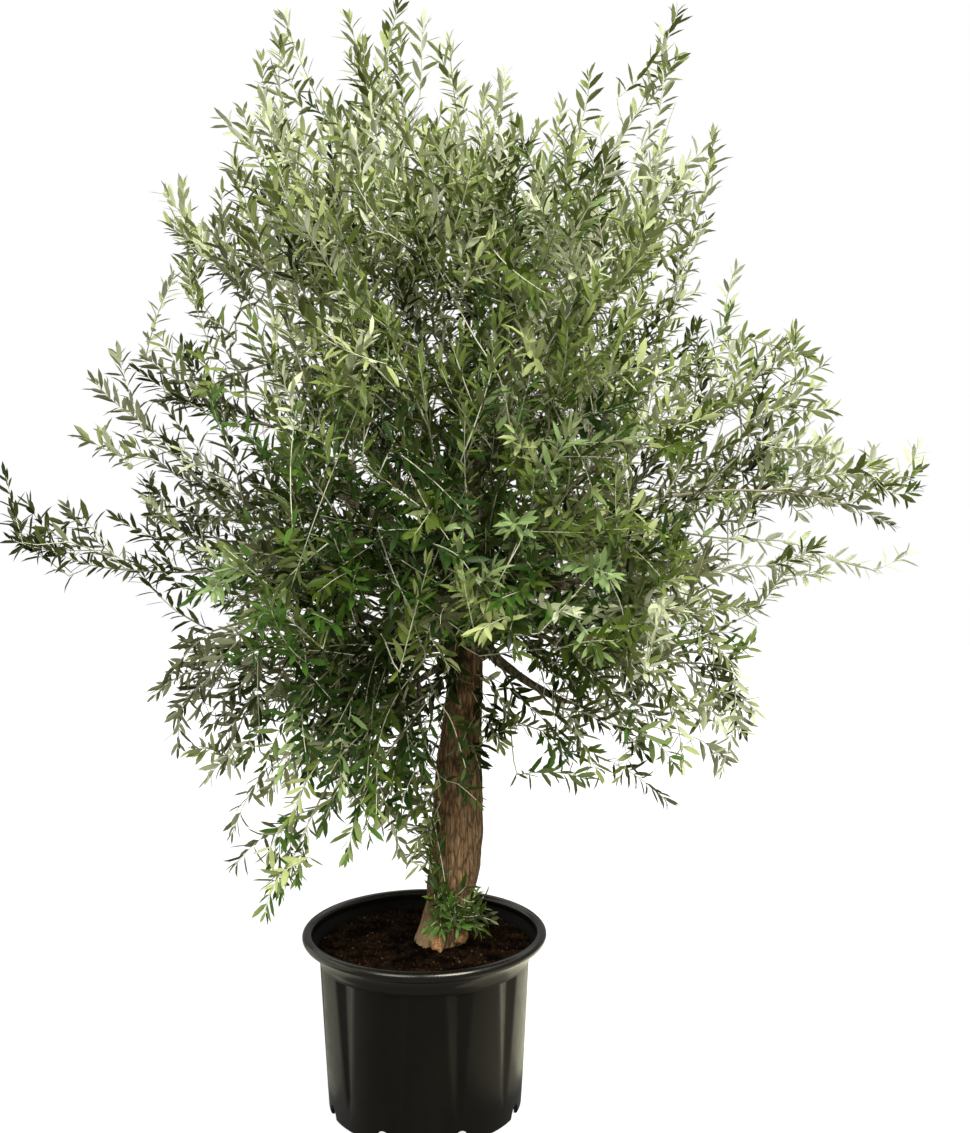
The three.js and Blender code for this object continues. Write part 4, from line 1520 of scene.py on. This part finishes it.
def make_leaves(shoots, owners, scales, rng):
    """Deals the leaves of every shoot to the piece of its tone and builds the pieces."""
    sets = {tone: [] for tone in LEAF_TONES}
    names = {tone: set() for tone in LEAF_TONES}
    for line, mass, scale in zip(shoots, owners, scales):
        tone = tone_of(line, mass, rng)
        sets[tone].append(leaves_on(line, scale, rng))
        if mass is not None:
            names[tone].add(mass.name)
    leaf = link("leaf", leaf_mesh())
    tree = leaf_tree()
    for tone, (upper, under) in LEAF_TONES.items():
        places, headings, normals, sizes = (np.concatenate(group) for group in zip(*sets[tone]))
        mesh = mesh_from("leaf_points", places)
        mark(mesh, "turn", quaternions(headings, normals).ravel(), "QUATERNION")
        mark(mesh, "size", sizes.ravel(), "FLOAT_VECTOR", field="vector")
        piece = run_tree("leaves_" + tone, mesh, tree, {
            "Leaf": leaf,
            "Leaf length": LEAF_LENGTH,
            "Leaf width": LEAF_WIDTH,
            "Upper face": plain_paint("leaf_" + tone, upper, 0.45, 0.15),
            "Under face": plain_paint("leaf_" + tone + "_under", under, 0.75, 0.2),
        })
        finish_piece(piece, sorted(names[tone]))
    bpy.data.objects.remove(leaf)


# ---- The tree ----


def make_crown(trunk):
    """Grows the wood from the boughs out to the leaders and the shoots, and puts the leaves on."""
    rng = np.random.default_rng(SEED)
    names = sorted(frame["nodes"])
    masses = [Mass(name) for name in names if name.startswith("foliage")]
    bough_names = [name for name in names if name.startswith("bough")]

    wood = Wood()
    heights = np.arange(trunk.z[0] + 0.02, trunk.z[-1], STEM_STEP)
    stem = wood.add_line([trunk.centre(h) for h in heights], -1)
    fixed = {node: trunk.radius_at(wood.place[node][2]) for node in stem}
    hosts = [node for node in stem if wood.place[node][2] > CROWN_FOOT]
    for name in bough_names:
        places, radii = bough_line(name, trunk)
        line, sizes = resample(places, radii, WOOD_STEP)
        foot = min(stem, key=lambda n: abs(wood.place[n][2] - places[0][2]))
        hosts += wood.add_line(line[1:], foot, sizes[1:])

    leaders = grow_to(wood, hosts, guide_lines(masses), rng)[:len(SIDE_LEADERS)]
    everywhere = [n for n in range(len(wood.place)) if wood.place[n][2] > CROWN_FOOT or n not in fixed]
    shoots, owners = deal_shoots(masses, trunk, rng)
    shoots += leader_shoots(trunk, rng)
    for whip in np.array(WHIPS) / 1000:
        root = whip[0] + 1.8 * (whip[0] - whip[1]) + [0, 0.15, 0.03]
        shoots.append(line_through([root, *whip], SHOOT_STEP))
    owners += [None] * (len(shoots) - len(owners))
    leafy = set(range(len(wood.place)))
    lines = grow_to(wood, everywhere, shoots, rng)
    scales = []
    for k, owner in enumerate(owners):
        slender = owner is not None and owner.part in SLENDER
        lines[k] = lead_back(wood, lines[k], leafy, 4 if slender else 1)
        if k >= len(lines) - len(WHIPS):
            lines[k] = lines[k][-WHIP_LEAFY:]
        out = length_of((wood.place[lines[k][-1]] - CROWN_HEART) / CROWN_REACH)
        scales.append(float(np.interp(out, [0.5, 1.0], [0.90, 1.12])))

    lines += [leader[-LEADER_LEAFY:] for leader in leaders]
    owners += [None] * len(leaders)
    scales += [1.0] * len(leaders)
    low = [node for node in stem if wood.place[node][2] < SPRAYS_TOP]
    foot_mass = next(mass for mass in masses if mass.part == "foot_shoots")
    for group, mass, scale in ((foot_shoots(trunk, rng), foot_mass, 0.88),
                               (trunk_sprays(trunk, rng), None, 1.05)):
        for line in group:
            lines.append(wood.add_line(line, wood.nearest(low, line[0])))
            owners.append(mass)
            scales.append(scale)

    radius = measure_wood(wood, fixed)
    thin = make_limbs(wood, radius, chains_of(wood, radius, fixed), bough_names)
    make_twigs(thin, [mass.name for mass in masses])
    make_leaves([np.array([wood.place[n] for n in line]) for line in lines], owners, scales, rng)


place_camera()
light_studio()
lay_floor()
make_pot()
olive = Trunk()
make_soil(olive)
make_trunk(olive)
make_crown(olive)
